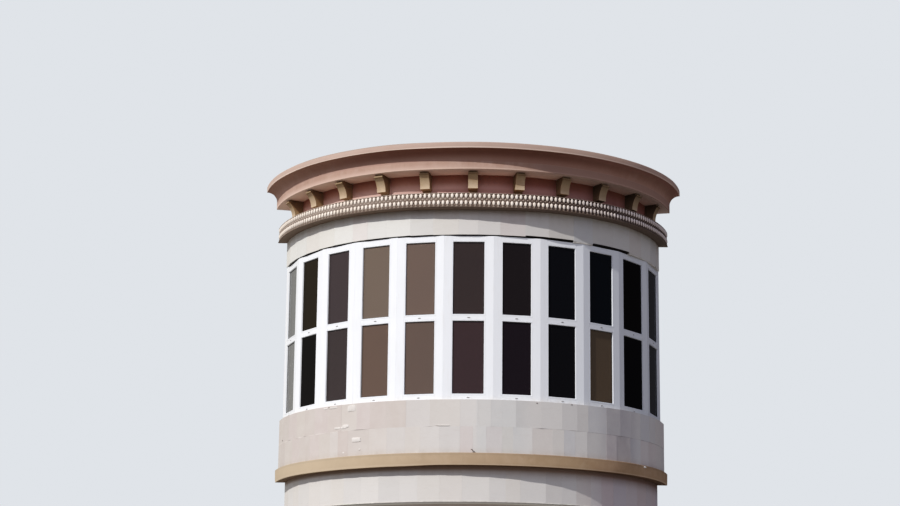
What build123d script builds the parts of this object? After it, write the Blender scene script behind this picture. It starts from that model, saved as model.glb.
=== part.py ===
from build123d import *
import math
import os

# Curved bow window bay of a stone-clad house: a segment of a circle that stands out
# from the wall, with eleven flat two-pane windows under a bracketed cornice.
# Millimetres. +X right seen from outside, +Y into the building, +Z up.
# The wall face of the building is the plane Y = 0, and the origin is the middle of
# the floor slab's flat back face on that plane.

# ---- plan -----------------------------------------------------------------
CENTRE_Y = 420.0          # centre of every circle, behind the wall face
R_SILL_WALL = 2250.0      # face of the stone wall under the windows
R_HEAD_WALL = 2220.0      # face of the stone wall over the windows
R_LOWER_WALL = 2168.0     # face of the wall under the string course
R_STRING = 2290.0
R_BAND = 2330.0           # face of the beaded band
R_FRIEZE = 2150.0         # set back over the band
R_FASCIA = 2354.0
R_FILLET = 2476.0
R_FRAME = 2215.0          # circle through the outer corners of the window frames
WALL_T = 200.0

# ---- heights --------------------------------------------------------------
Z_LOW = -445.0
Z_SLAB_B, Z_SLAB_T = -65.0, 65.0
Z_SILL = 630.0
Z_FRAME_T = 2430.0
Z_HEAD = 2441.0
Z_BAND_B, Z_BAND_T = 2722.0, 2888.0
Z_SOFFIT = 3138.0         # top of the walls
Z_SOFFIT_IN, Z_SOFFIT_OUT = 3128.0, 3147.0   # the cornice's underside rises outwards
Z_FASCIA_T = 3228.0
Z_FILLET_B = 3349.0
Z_TOP = 3423.0
Z_ROOF_T = 3288.0
R_KERB = 2320.0           # inner face of the kerb round the roof

# ---- windows --------------------------------------------------------------
END = math.degrees(math.acos(CENTRE_Y / R_FRAME))
FACETS = [-END, -64.1, -49.8, -36.1, -22.1, -8.4, 5.6, 19.1, 33.0, 47.1, 63.2, END]
FRAME_D = 60.0            # depth of the frame, outside to inside
STILE = 102.0             # stile width, from the corner to the glass
GLASS_LOW = (706.0, 1493.0)
GLASS_UP = (1570.0, 2364.0)
RECESS = 16.0             # glass behind the outer face of the frame
GLASS_T = 24.0
REBATE = 12.0             # how far the glass runs into the frame
GAP_BACK = 30.0           # packing strip over the frames, back from the stone face

# ---- brackets -------------------------------------------------------------
BRACKETS = [-67.7, -53.9, -40.5, -27.1, -13.9, -0.4, 12.8, 26.3, 39.5, 54.4, 68.8]
BRACKET_CAP_T = 3122.0    # top of the cap slab, under a thin neck
BRACKET_CAP_B = 3102.0    # underside of the cap slab
BRACKET_FACE_B = 2952.0   # its flat underside
BRACKET_FOOT_B = 2888.0   # the foot stands on the band
R_BRACKET_NECK = 2298.0
R_BRACKET_CAP = 2320.0
R_BRACKET_FACE = 2247.0   # front at the foot; it sweeps out to the cap
BRACKET_W = 107.0
CAP_W = 109.0
NECK_W = 99.0
FOOT_W = 95.0

SPLIT = (-90.0, -29.0, 26.0, 90.0)   # left, centre and right pieces of each ring
SIDES = ("left", "centre", "right")

os.makedirs("parts", exist_ok=True)


def pt(r, deg, z=0.0):
    a = math.radians(deg)
    return (r * math.sin(a), CENTRE_Y - r * math.cos(a), z)


FRONT = Pos(0, -2000, 1500) * Box(6000, 4000, 6000)   # everything before the wall face


def revolve_profile(points, a0, a1, arcs=None):
    """Solid of revolution of an (R, Z) outline between two plan angles."""
    with BuildSketch(Plane.XZ) as sk:
        with BuildLine():
            n = len(points)
            for i in range(n):
                p, q = points[i], points[(i + 1) % n]
                mid = (arcs or {}).get(i)
                if mid:
                    ThreePointArc(p, mid, q)
                else:
                    Line(p, q)
        make_face()
    # the outline stands on +X; a turn of -90 brings +X to -Y, the front
    body = revolve(sk.sketch, axis=Axis.Z, revolution_arc=a1 - a0)
    body = Rot(0, 0, a0 - 90.0) * body
    return Pos(0, CENTRE_Y, 0) * body


def to_front(shape):
    s = shape & FRONT
    sol = s.solids()
    return sol[0] if len(sol) == 1 else Compound(children=list(sol))


def save(shape, name):
    shape.label = name
    export_step(shape, "parts/%s.step" % name)


def ring(name, points, arcs=None):
    for i, side in enumerate(SIDES):
        piece = to_front(revolve_profile(points, SPLIT[i], SPLIT[i + 1], arcs))
        save(piece, "%s_%s" % (name, side))


def box_ring(r0, r1, z0, z1):
    return [(r0, z0), (r1, z0), (r1, z1), (r0, z1)]


# ---- walls, slabs and mouldings ---------------------------------------------
ring("lower_wall", box_ring(R_LOWER_WALL - WALL_T, R_LOWER_WALL, Z_LOW, Z_SLAB_B))
ring("string_course", box_ring(R_LOWER_WALL, R_STRING, Z_SLAB_B, Z_SLAB_T))
ring("sill_wall", box_ring(R_SILL_WALL - WALL_T, R_SILL_WALL, Z_SLAB_T, Z_SILL))
ring("head_wall", box_ring(R_HEAD_WALL - WALL_T, R_HEAD_WALL, Z_HEAD, Z_BAND_B))
IN = R_HEAD_WALL - WALL_T
frieze = [(IN, Z_BAND_B), (R_HEAD_WALL, Z_BAND_B), (R_HEAD_WALL, Z_BAND_T),
          (R_FRIEZE, Z_BAND_T), (R_FRIEZE, Z_SOFFIT), (IN, Z_SOFFIT)]
save(to_front(revolve_profile(frieze, -90.0, 90.0)), "frieze_wall")
band = [(R_HEAD_WALL, Z_BAND_B), (R_BAND - 16.0, Z_BAND_B), (R_BAND, Z_BAND_B + 9.0),
        (R_BAND, Z_BAND_T), (R_HEAD_WALL, Z_BAND_T)]
save(to_front(revolve_profile(band, -90.0, 90.0)), "beaded_band")

# cornice: fascia, hollow cove, top fillet and the kerb behind it, in one cast piece
COVE = R_FILLET - R_FASCIA
cove_mid = (R_FILLET - COVE * math.cos(math.radians(45)),
            Z_FASCIA_T + (Z_FILLET_B - Z_FASCIA_T) * math.sin(math.radians(45)))
cornice = [(R_FRIEZE, Z_SOFFIT_IN), (R_FASCIA, Z_SOFFIT_OUT), (R_FASCIA, Z_FASCIA_T),
           (R_FILLET, Z_FILLET_B), (R_FILLET, Z_TOP), (R_KERB, Z_TOP),
           (R_KERB, Z_ROOF_T), (R_FRIEZE, Z_ROOF_T)]
ring("cornice", cornice, {2: cove_mid})


def disc(r, z0, z1):
    return to_front(Pos(0, CENTRE_Y, (z0 + z1) / 2) * Cylinder(r, z1 - z0))


save(disc(R_LOWER_WALL, Z_SLAB_B, Z_SLAB_T), "floor_slab")
save(disc(R_LOWER_WALL - WALL_T, Z_LOW, Z_LOW + 60.0), "bottom_soffit")
save(disc(R_FRIEZE, Z_SOFFIT, Z_ROOF_T), "roof_slab")

strip = revolve_profile(box_ring(R_HEAD_WALL - 130.0, R_HEAD_WALL - GAP_BACK,
                                 Z_FRAME_T, Z_HEAD), -90.0, 90.0)
save(to_front(strip), "head_packing_strip")


# ---- windows ----------------------------------------------------------------
def plate(poly, z0, z1):
    with BuildSketch() as sk:
        with BuildLine():
            Polyline(*poly, close=True)
        make_face()
    return Pos(0, 0, z0) * extrude(sk.sketch, z1 - z0)


def facet_frame(a0, a1):
    """Outer corners, unit vector along the facet and unit vector inwards, in plan."""
    ax, ay, _ = pt(R_FRAME, a0)
    bx, by, _ = pt(R_FRAME, a1)
    L = math.hypot(bx - ax, by - ay)
    t = ((bx - ax) / L, (by - ay) / L)
    n = (-t[1], t[0])
    if n[0] * (0 - ax) + n[1] * (CENTRE_Y - ay) < 0:
        n = (-n[0], -n[1])
    return (ax, ay), (bx, by), t, n, L


def band_poly(a0, a1, u0, u1, v0, v1):
    """Rectangle in a facet: u along it from its left corner, v inwards."""
    A, B, t, n, L = facet_frame(a0, a1)
    return [(A[0] + t[0] * u + n[0] * v, A[1] + t[1] * u + n[1] * v)
            for u, v in ((u0, v0), (u1, v0), (u1, v1), (u0, v1))]


for k in range(11):
    a0, a1 = FACETS[k], FACETS[k + 1]
    A, B, t, n, L = facet_frame(a0, a1)
    half = (a1 - a0) / 2
    mitre = FRAME_D * math.tan(math.radians(half))
    outline = [(A[0], A[1]), (B[0], B[1]),
               (B[0] - t[0] * mitre + n[0] * FRAME_D, B[1] - t[1] * mitre + n[1] * FRAME_D),
               (A[0] + t[0] * mitre + n[0] * FRAME_D, A[1] + t[1] * mitre + n[1] * FRAME_D)]
    frame = plate(outline, Z_SILL, Z_FRAME_T)
    panes = []
    for z0, z1 in (GLASS_LOW, GLASS_UP):
        frame -= plate(band_poly(a0, a1, STILE, L - STILE, -5, FRAME_D + 5), z0, z1)
        frame -= plate(band_poly(a0, a1, STILE - REBATE, L - STILE + REBATE, RECESS, FRAME_D + 5),
                       z0 - REBATE, z1 + REBATE)
        panes.append(plate(band_poly(a0, a1, STILE - REBATE, L - STILE + REBATE,
                                     RECESS, RECESS + GLASS_T), z0 - REBATE, z1 + REBATE))
    save(to_front(frame), "window_frame_%02d" % (k + 1))
    sol = [s for p in panes for s in (p & FRONT).solids()]
    save(Compound(children=sol), "window_glass_%02d" % (k + 1))

# ---- brackets under the cornice ---------------------------------------------
def bracket_slab(outline, width):
    """A (R, Z) outline with its full width across the bracket."""
    with BuildSketch(Plane.XZ) as sk:
        with BuildLine():
            Polyline(*outline, close=True)
        make_face()
    return extrude(sk.sketch, width / 2, both=True)


BACK = R_FRIEZE - 30.0
SWEEP = R_BRACKET_CAP - 8.0 - R_BRACKET_FACE      # how far the face sweeps out
sweep = [(R_BRACKET_FACE + SWEEP * (k / 8.0) ** 2.2,
          BRACKET_FACE_B + (BRACKET_CAP_B - BRACKET_FACE_B) * k / 8.0) for k in range(9)]
over = revolve_profile([(BACK - 60, Z_SOFFIT_IN - 90 * (Z_SOFFIT_OUT - Z_SOFFIT_IN) / (R_FASCIA - R_FRIEZE)),
                        (R_FASCIA, Z_SOFFIT_OUT), (R_FASCIA, Z_TOP), (BACK - 60, Z_TOP)], -90.0, 90.0)
inside = Pos(0, CENTRE_Y, 3000.0) * Cylinder(R_FRIEZE, 600.0)     # curved back on the frieze
brackets = []
for deg in BRACKETS:
    neck = bracket_slab([(BACK, BRACKET_CAP_T), (R_BRACKET_NECK, BRACKET_CAP_T),
                         (R_BRACKET_NECK, Z_SOFFIT_OUT + 5), (BACK, Z_SOFFIT_OUT + 5)], NECK_W)
    cap = bracket_slab([(BACK, BRACKET_CAP_B), (R_BRACKET_CAP, BRACKET_CAP_B),
                        (R_BRACKET_CAP, BRACKET_CAP_T), (BACK, BRACKET_CAP_T)], CAP_W)
    body = bracket_slab([(BACK, BRACKET_FACE_B)] + sweep + [(BACK, BRACKET_CAP_B)], BRACKET_W)
    foot = bracket_slab([(BACK, BRACKET_FOOT_B), (R_BRACKET_FACE - 39, BRACKET_FOOT_B),
                         (R_BRACKET_FACE - 22, BRACKET_FACE_B), (BACK, BRACKET_FACE_B)], FOOT_W)
    b = neck + cap + body + foot
    b = Pos(0, CENTRE_Y, 0) * (Rot(0, 0, deg - 90.0) * b)
    b = b - inside - over
    brackets += list(b.solids())
save(Compound(children=brackets), "cornice_brackets")
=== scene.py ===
import bpy, bmesh, math, random
from mathutils import Vector, Matrix, noise


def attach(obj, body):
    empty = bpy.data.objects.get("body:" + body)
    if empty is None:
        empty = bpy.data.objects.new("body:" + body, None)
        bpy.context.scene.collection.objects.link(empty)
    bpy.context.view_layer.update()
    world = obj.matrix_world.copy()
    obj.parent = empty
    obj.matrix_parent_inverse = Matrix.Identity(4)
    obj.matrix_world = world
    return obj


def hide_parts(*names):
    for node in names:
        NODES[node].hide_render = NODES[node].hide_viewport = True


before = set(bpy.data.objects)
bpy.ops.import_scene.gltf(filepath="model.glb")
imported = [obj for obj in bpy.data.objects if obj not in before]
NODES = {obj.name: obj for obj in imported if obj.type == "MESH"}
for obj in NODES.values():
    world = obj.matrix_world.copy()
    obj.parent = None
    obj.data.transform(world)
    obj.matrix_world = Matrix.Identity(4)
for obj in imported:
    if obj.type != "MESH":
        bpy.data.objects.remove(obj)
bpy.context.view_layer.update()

SIDES = ("left", "centre", "right")

# ---------------------------------------------------------------- dimensions, mm
CY = 420.0
FACETS = [-79.0678, -64.1, -49.8, -36.1, -22.1, -8.4, 5.6, 19.1, 33.0, 47.1, 63.2, 79.0678]
R_FRAME = 2215.0
FACETS[0] = -math.degrees(math.acos(CY / R_FRAME))
FACETS[-1] = -FACETS[0]
BRACKETS = [-67.7, -53.9, -40.5, -27.1, -13.9, -0.4, 12.8, 26.3, 39.5, 54.4, 68.8]
Z_BB, Z_BT = 2722.0, 2888.0      # beaded band
STILE = 102.0
FRAME_D = 60.0
Z_SILL, Z_FT = 630.0, 2430.0
PANES = ((706.0, 1493.0), (1570.0, 2364.0))


def pol(r, deg, z):
    """Millimetres and degrees to a point in metres."""
    a = math.radians(deg)
    return (r * math.sin(a) / 1000.0, (CY - r * math.cos(a)) / 1000.0, z / 1000.0)


def wall_end(r):
    return math.degrees(math.acos(CY / r))


# ---------------------------------------------------------------- mesh building
class Build:
    """Gathers closed shells, in metres, with two numbers per vertex for the material."""

    def __init__(self):
        self.v, self.f, self.a, self.b = [], [], [], []

    def add(self, verts, faces, tint=0.5, other=0.0):
        o = len(self.v)
        self.v += [tuple(p) for p in verts]
        self.f += [tuple(i + o for i in f) for f in faces]
        n = len(verts)
        self.a += list(tint) if hasattr(tint, "__len__") else [tint] * n
        self.b += list(other) if hasattr(other, "__len__") else [other] * n

    def make(self, name, mat, slot, replaces=(), sharp=35.0, bevel=0.0, segs=1):
        me = bpy.data.meshes.new(name)
        me.from_pydata(self.v, [], self.f)
        for key, vals in (("tint", self.a), ("other", self.b)):
            at = me.attributes.new(key, "FLOAT", "POINT")
            at.data.foreach_set("value", vals)
        bm = bmesh.new()
        bm.from_mesh(me)
        bmesh.ops.recalc_face_normals(bm, faces=bm.faces)
        if bevel > 0:
            edges = [e for e in bm.edges if e.calc_face_angle(0.0) > math.radians(30)]
            bmesh.ops.bevel(bm, geom=edges, offset=bevel, segments=segs, profile=0.5,
                            affect="EDGES", clamp_overlap=True)
            bmesh.ops.recalc_face_normals(bm, faces=bm.faces)
        bm.to_mesh(me)
        bm.free()
        me.shade_smooth()
        me.set_sharp_from_angle(angle=math.radians(sharp))
        me.materials.append(mat)
        ob = bpy.data.objects.new(name, me)
        bpy.context.scene.collection.objects.link(ob)
        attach(ob, "root")
        if replaces:
            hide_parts(*replaces)
        return ob


def rounded(points, radii, n=4):
    """Closed (r, z) outline with the given corners rounded."""
    out = []
    m = len(points)
    for i in range(m):
        p = Vector(points[i])
        r = radii.get(i, 0.0) if isinstance(radii, dict) else radii
        if r <= 0:
            out.append((p.x, p.y))
            continue
        a, b = Vector(points[i - 1]), Vector(points[(i + 1) % m])
        da, db = (a - p), (b - p)
        t = min(r, da.length * 0.45, db.length * 0.45)
        s, e = p + da.normalized() * t, p + db.normalized() * t
        for k in range(n + 1):
            u = k / n
            q = s * (1 - u) ** 2 + p * 2 * u * (1 - u) + e * u ** 2
            out.append((q.x, q.y))
    return out


def densify(points, step):
    out = []
    m = len(points)
    for i in range(m):
        a, b = Vector(points[i]), Vector(points[(i + 1) % m])
        k = max(1, int((b - a).length / step))
        for j in range(k):
            q = a.lerp(b, j / k)
            out.append((q.x, q.y))
    return out


def ring(B, prof, n=320, u0=-1.0, u1=1.0, wob=None, a0=None, a1=None, tint=0.5):
    """Sweeps a closed (r, z) outline round the bay. It ends on the wall face, or at angles a0, a1."""
    m = len(prof)
    verts, faces = [], []
    for i in range(n + 1):
        u = u0 + (u1 - u0) * i / n
        for k, (r, z) in enumerate(prof):
            if a0 is None:
                deg = u * wall_end(r)
            else:
                deg = a0 + (a1 - a0) * i / n
            dr = dz = 0.0
            if wob:
                dr, dz = wob(r, deg, z)
            p = pol(r + dr, deg, z + dz)
            if a0 is None and i in (0, n):
                p = (p[0], 0.0, p[2])
            verts.append(p)
    for i in range(n):
        for k in range(m):
            k2 = (k + 1) % m
            faces.append((i * m + k, i * m + k2, (i + 1) * m + k2, (i + 1) * m + k))
    faces.append(tuple(range(m)))
    faces.append(tuple(n * m + k for k in reversed(range(m))))
    B.add(verts, faces, tint)


def waver(amp_r, amp_z, scale, seed):
    """Slow unevenness of hand-finished plaster, in mm."""
    def w(r, deg, z):
        s = math.radians(deg) * 2.25
        p = Vector((s * scale, z / 1000.0 * scale * 2.0, seed))
        q = Vector((s * scale * 0.7, seed * 3.1, r / 400.0))
        return (amp_r * noise.noise(p) + 0.35 * amp_r * noise.noise(p * 5.3),
                amp_z * noise.noise(q))
    return w


def rise(deg):
    """The mouldings ride up about 8 mm on the left of the middle, as built."""
    def st(x, a, b):
        u = max(0.0, min(1.0, (x - a) / (b - a)))
        return u * u * (3 - 2 * u)
    return 7.5 * st(deg, -62.0, -42.0) * (1.0 - st(deg, -24.0, -8.0))


def risen(w):
    def f(r, deg, z):
        dr, dz = w(r, deg, z)
        return dr, dz + rise(deg)
    return f


SWAY = ((-80.0, 14.0), (-60.0, 13.0), (-54.0, 9.0), (-48.0, 7.0), (-42.0, 4.5), (-36.0, 3.5), (-30.0, 2.0), (-24.0, 0.0),
        (-18.0, -0.5), (-12.0, -2.0), (-6.0, -4.0), (0.0, -7.5), (6.0, -8.0), (12.0, -4.0), (18.0, 1.0), (24.0, 5.5),
        (30.0, 8.0), (36.0, 11.0), (42.0, 13.0), (48.0, 13.5), (54.0, 12.0), (60.0, 9.5), (80.0, 8.0))


def sway(deg):
    """The band was run by hand: it hangs a little in the middle and climbs towards both ends."""
    for (a, va), (b_, vb) in zip(SWAY, SWAY[1:]):
        if deg <= b_:
            u = max(0.0, (deg - a) / (b_ - a))
            return rise(deg) + va + (vb - va) * u
    return rise(deg) + SWAY[-1][1]


def swayed(w):
    def f(r, deg, z):
        dr, dz = w(r, deg, z)
        return dr, dz + sway(deg)
    return f


def ease(x, a, b):
    u = max(0.0, min(1.0, (x - a) / (b - a)))
    return u * u * (3 - 2 * u)


def belly(deg):
    """The wall under the string course stands a little prouder in the middle."""
    return 14.0 * (1.0 - (ease(deg, 34.0, 62.0) if deg > 0 else ease(-deg, 52.0, 78.0)))


# ---------------------------------------------------------------- materials
def new_mat(name):
    m = bpy.data.materials.new(name)
    m.use_nodes = True
    nt = m.node_tree
    b = nt.nodes["Principled BSDF"]
    return m, nt, b


class G:
    """Short names for shader nodes."""

    def __init__(self, nt):
        self.nt = nt
        self.n = nt.nodes
        self.l = nt.links

    def link(self, a, b):
        self.l.new(a, b)

    def put(self, node, key, val):
        if val is None:
            return
        if hasattr(val, "is_output") or isinstance(val, bpy.types.NodeSocket):
            self.l.new(val, node.inputs[key])
        else:
            node.inputs[key].default_value = val

    def obj(self):
        t = self.n.new("ShaderNodeTexCoord")
        return t.outputs["Object"]

    def attr(self, name):
        a = self.n.new("ShaderNodeAttribute")
        a.attribute_name = name
        return a.outputs["Fac"]

    def attr_col(self, name):
        a = self.n.new("ShaderNodeAttribute")
        a.attribute_name = name
        return a.outputs["Color"]

    def mapping(self, vec, scale=(1, 1, 1), loc=(0, 0, 0)):
        m = self.n.new("ShaderNodeMapping")
        self.put(m, "Vector", vec)
        m.inputs["Scale"].default_value = scale
        m.inputs["Location"].default_value = loc
        return m.outputs["Vector"]

    def noise(self, vec, scale, detail=3.0, rough=0.5, dist=0.0, col=False):
        t = self.n.new("ShaderNodeTexNoise")
        self.put(t, "Vector", vec)
        t.inputs["Scale"].default_value = scale
        t.inputs["Detail"].default_value = detail
        t.inputs["Roughness"].default_value = rough
        t.inputs["Distortion"].default_value = dist
        return t.outputs["Color" if col else "Fac"]

    def voronoi(self, vec, scale, feature="F1", rand=1.0):
        t = self.n.new("ShaderNodeTexVoronoi")
        t.feature = feature
        self.put(t, "Vector", vec)
        t.inputs["Scale"].default_value = scale
        t.inputs["Randomness"].default_value = rand
        return t.outputs["Distance"]

    def ramp(self, fac, stops, interp="LINEAR"):
        r = self.n.new("ShaderNodeValToRGB")
        r.color_ramp.interpolation = interp
        el = r.color_ramp.elements
        while len(el) > 1:
            el.remove(el[-1])
        first = True
        for pos, c in stops:
            c = (c, c, c, 1.0) if not hasattr(c, "__len__") else tuple(c) + ((1.0,) if len(c) == 3 else ())
            if first:
                el[0].position, el[0].color = pos, c
                first = False
            else:
                e = el.new(pos)
                e.color = c
        self.put(r, "Fac", fac)
        return r.outputs["Color"]

    def math(self, op, a, b=None, c=None, clamp=False):
        m = self.n.new("ShaderNodeMath")
        m.operation = op
        m.use_clamp = clamp
        self.put(m, 0, a)
        if b is not None:
            self.put(m, 1, b)
        if c is not None:
            self.put(m, 2, c)
        return m.outputs[0]

    def mix(self, fac, a, b, mode="MIX"):
        m = self.n.new("ShaderNodeMix")
        m.data_type = "RGBA"
        m.blend_type = mode
        m.clamp_result = False

        def setc(sock, v):
            if isinstance(v, bpy.types.NodeSocket):
                self.l.new(v, sock)
            else:
                sock.default_value = tuple(v) + ((1.0,) if len(v) == 3 else ())
        if isinstance(fac, bpy.types.NodeSocket):
            self.l.new(fac, m.inputs[0])
        else:
            m.inputs[0].default_value = fac
        setc(m.inputs[6], a)
        setc(m.inputs[7], b)
        return m.outputs[2]

    def sep(self, vec):
        s = self.n.new("ShaderNodeSeparateXYZ")
        self.l.new(vec, s.inputs[0])
        return s.outputs[0], s.outputs[1], s.outputs[2]

    def comb(self, x, y, z):
        c = self.n.new("ShaderNodeCombineXYZ")
        self.put(c, 0, x)
        self.put(c, 1, y)
        self.put(c, 2, z)
        return c.outputs[0]

    def bump(self, height, strength, distance, normal=None):
        b = self.n.new("ShaderNodeBump")
        b.inputs["Strength"].default_value = strength
        b.inputs["Distance"].default_value = distance
        self.l.new(height, b.inputs["Height"])
        if normal is not None:
            self.l.new(normal, b.inputs["Normal"])
        return b.outputs["Normal"]

    def unrolled(self):
        """Bay coordinates: metres round the curve, radius, height."""
        o = self.obj()
        x, y, z = self.sep(o)
        yy = self.math("SUBTRACT", CY / 1000.0, y)
        ang = self.math("ARCTAN2", x, yy)
        rad = self.math("SQRT", self.math("ADD", self.math("MULTIPLY", x, x), self.math("MULTIPLY", yy, yy)))
        s = self.math("MULTIPLY", ang, 2.25)
        return o, s, rad, z, y


def smooth(g, x, lo, hi):
    """0 below lo, 1 above hi."""
    m = g.n.new("ShaderNodeMapRange")
    m.interpolation_type = "SMOOTHSTEP"
    g.put(m, 0, x)
    m.inputs[1].default_value = lo
    m.inputs[2].default_value = hi
    m.inputs[3].default_value = 0.0
    m.inputs[4].default_value = 1.0
    return m.outputs[0]


def plaster(name, base, dark, light, z_hint=None, streak=0.5, rough=0.86, bumpy=1.0):
    """Painted render: patchy paint, run marks down the face, fine sand."""
    m, nt, b = new_mat(name)
    g = G(nt)
    o, s, rad, z, y = g.unrolled()
    broad = g.noise(o, 2.3, 5.0, 0.6)
    patch = g.noise(o, 9.0, 4.0, 0.65, 0.4)
    fine = g.noise(o, 170.0, 3.0, 0.6)
    runs_v = g.comb(g.math("MULTIPLY", s, 1.0), g.math("MULTIPLY", rad, 0.6), g.math("MULTIPLY", z, 0.09))
    runs = g.noise(runs_v, 26.0, 4.0, 0.6)
    c = g.mix(g.ramp(broad, [(0.32, 0.0), (0.68, 1.0)]), dark, base)
    c = g.mix(g.math("MULTIPLY", g.ramp(patch, [(0.45, 0.0), (0.75, 1.0)]), 0.55), c, light)
    c = g.mix(g.math("MULTIPLY", g.ramp(runs, [(0.50, 0.0), (0.78, 1.0)]), 0.42 * streak), c,
              tuple(0.62 * k for k in dark))
    c = g.mix(g.math("MULTIPLY", g.ramp(fine, [(0.35, 1.0), (0.62, 0.0)]), 0.10), c, tuple(0.5 * k for k in dark))
    g.link(c, b.inputs["Base Color"])
    g.link(g.ramp(patch, [(0.3, rough - 0.08), (0.7, rough + 0.06)]), b.inputs["Roughness"])
    b.inputs["Specular IOR Level"].default_value = 0.25
    h1 = g.bump(patch, 0.25 * bumpy, 0.004)
    h2 = g.bump(fine, 0.35 * bumpy, 0.0012, h1)
    g.link(h2, b.inputs["Normal"])
    return m, g, b, (o, s, rad, z, y), c


# ---- pink cornice and frieze
PINK, PINK_D, PINK_L = (0.470, 0.318, 0.255), (0.405, 0.262, 0.208), (0.515, 0.385, 0.328)
mat_pink, g, b, (o, s, rad, z, y), c = plaster("pink_render", PINK, PINK_D, PINK_L, streak=0.55)
# bleached, greyer upper fillet, paler towards the left, with a painted highlight along its lower edge that fades
# towards the right
fil = g.math("MULTIPLY", smooth(g, rad, 2.466, 2.470), smooth(g, z, 3.345, 3.352))
bl = g.noise(g.comb(s, 0.0, g.math("MULTIPLY", z, 3.0)), 5.0, 4.0, 0.6)
c = g.mix(g.math("MULTIPLY", fil, g.ramp(bl, [(0.3, 0.55), (0.7, 0.85)])), c,
          g.mix(smooth(g, s, -1.4, 0.9), (0.515, 0.402, 0.345), (0.425, 0.320, 0.270)))
edge = g.math("MULTIPLY", g.math("SUBTRACT", 1.0, smooth(g, z, 3.360, 3.366)),
              g.math("MULTIPLY", smooth(g, rad, 2.466, 2.470), smooth(g, z, 3.344, 3.349)))
c = g.mix(g.math("MULTIPLY", edge, g.math("SUBTRACT", 0.75, g.math("MULTIPLY", smooth(g, s, -0.6, 1.0), 0.32))), c,
          (0.70, 0.565, 0.49))
# painted highlight along the lower edge of the fascia, fading towards the right
fascia_edge_highlight = g.math("MULTIPLY", g.math("SUBTRACT", 1.0, smooth(g, z, 3.156, 3.162)),
                  g.math("MULTIPLY", smooth(g, rad, 2.350, 2.353), smooth(g, z, 3.142, 3.147)))
fas = g.math("MULTIPLY", smooth(g, rad, 2.345, 2.351), g.math("SUBTRACT", 1.0, smooth(g, z, 3.228, 3.232)))
fas = g.math("MULTIPLY", fas, g.math("SUBTRACT", 1.0, smooth(g, rad, 2.362, 2.366)))
# the lower, sunlit part of the fascia painted lighter, most at the left: painted light
lit_lower_fascia = g.math("MULTIPLY", g.math("MULTIPLY", fas, g.math("SUBTRACT", 1.0, smooth(g, z, 3.150, 3.212))),
                g.math("SUBTRACT", 1.0, g.math("MULTIPLY", smooth(g, s, -1.1, 0.5), 0.85)))
c = g.mix(g.math("MULTIPLY", lit_lower_fascia, 0.80), c, (0.600, 0.445, 0.375))
# the fascia painted darker towards the right: painted shade
c = g.mix(g.math("MULTIPLY", fas, g.math("MULTIPLY", smooth(g, s, 0.45, 0.82), 0.82)), c, (0.335, 0.222, 0.185))
c = g.mix(g.math("MULTIPLY", fascia_edge_highlight, g.math("SUBTRACT", 0.48, g.math("MULTIPLY", smooth(g, s, 0.2, 0.9), 0.34))), c,
          (0.68, 0.52, 0.43))
# the hollow is painted a deep dark red: painted shade, darkest at its top under the fillet and towards the right,
# weaker near both ends
hollow = g.math("MULTIPLY", smooth(g, z, 3.229, 3.236), g.math("SUBTRACT", 1.0, smooth(g, rad, 2.464, 2.468)))
away = g.math("SUBTRACT", 0.80, g.math("MULTIPLY", smooth(g, g.math("ABSOLUTE", s), 0.5, 2.3), 0.36))
c = g.mix(g.math("MULTIPLY", hollow, away), c, g.mix(smooth(g, z, 3.240, 3.325), g.mix(smooth(g, s, -0.2, 0.8), (0.415, 0.262, 0.215), (0.330, 0.190, 0.150)),
                                               (0.165, 0.068, 0.046)))
# the top of the hollow lightened again towards the right end: painted light
crown = g.math("MULTIPLY", smooth(g, z, 3.320, 3.344), g.math("SUBTRACT", 1.0, smooth(g, rad, 2.464, 2.468)))
c = g.mix(g.math("MULTIPLY", crown, g.math("MULTIPLY", smooth(g, s, 0.6, 1.6), 0.6)), c, (0.340, 0.190, 0.160))
# the soffit is painted lighter than the cornice, most near the wall at the right: painted light in the shaded corner
# under the cornice
under = g.math("MULTIPLY", g.math("SUBTRACT", 1.0, smooth(g, rad, 2.345, 2.352)),
               g.math("SUBTRACT", 1.0, smooth(g, z, 3.150, 3.156)))
c = g.mix(g.math("MULTIPLY", under, 0.90), c,
          g.mix(smooth(g, rad, 2.17, 2.33),
                g.mix(smooth(g, s, -1.6, 0.2), (0.660, 0.510, 0.430), (0.880, 0.690, 0.610)),
                g.mix(smooth(g, s, -1.6, 0.2), (0.660, 0.515, 0.437), (0.600, 0.470, 0.415))))
# the soffit painted darker towards the right: painted shade
c = g.mix(g.math("MULTIPLY", under, smooth(g, s, 0.6, 1.4)), c, g.mix(1.0, c, (0.88, 0.90, 0.91), "MULTIPLY"))
# dirt on upward faces of the kerb
top = smooth(g, z, 3.409, 3.414)
c = g.mix(g.math("MULTIPLY", top, g.ramp(bl, [(0.3, 0.4), (0.7, 0.75)])), c, (0.30, 0.26, 0.22))
g.link(c, b.inputs["Base Color"])

# ---- tan string course and brackets
TAN, TAN_D, TAN_L = (0.41, 0.295, 0.185), (0.32, 0.225, 0.135), (0.47, 0.365, 0.255)
mat_tan, g, b, (o, s, rad, z, y), c = plaster("tan_render", TAN, TAN_D, TAN_L, streak=0.45)
# slightly greener at the left end, pinker toward the right
side = smooth(g, s, -2.4, 1.6)
c = g.mix(g.math("MULTIPLY", g.math("SUBTRACT", 1.0, side), 0.75), c, (0.535, 0.445, 0.325))
c = g.mix(g.math("MULTIPLY", side, 0.26), c, (0.44, 0.30, 0.215))
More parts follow.
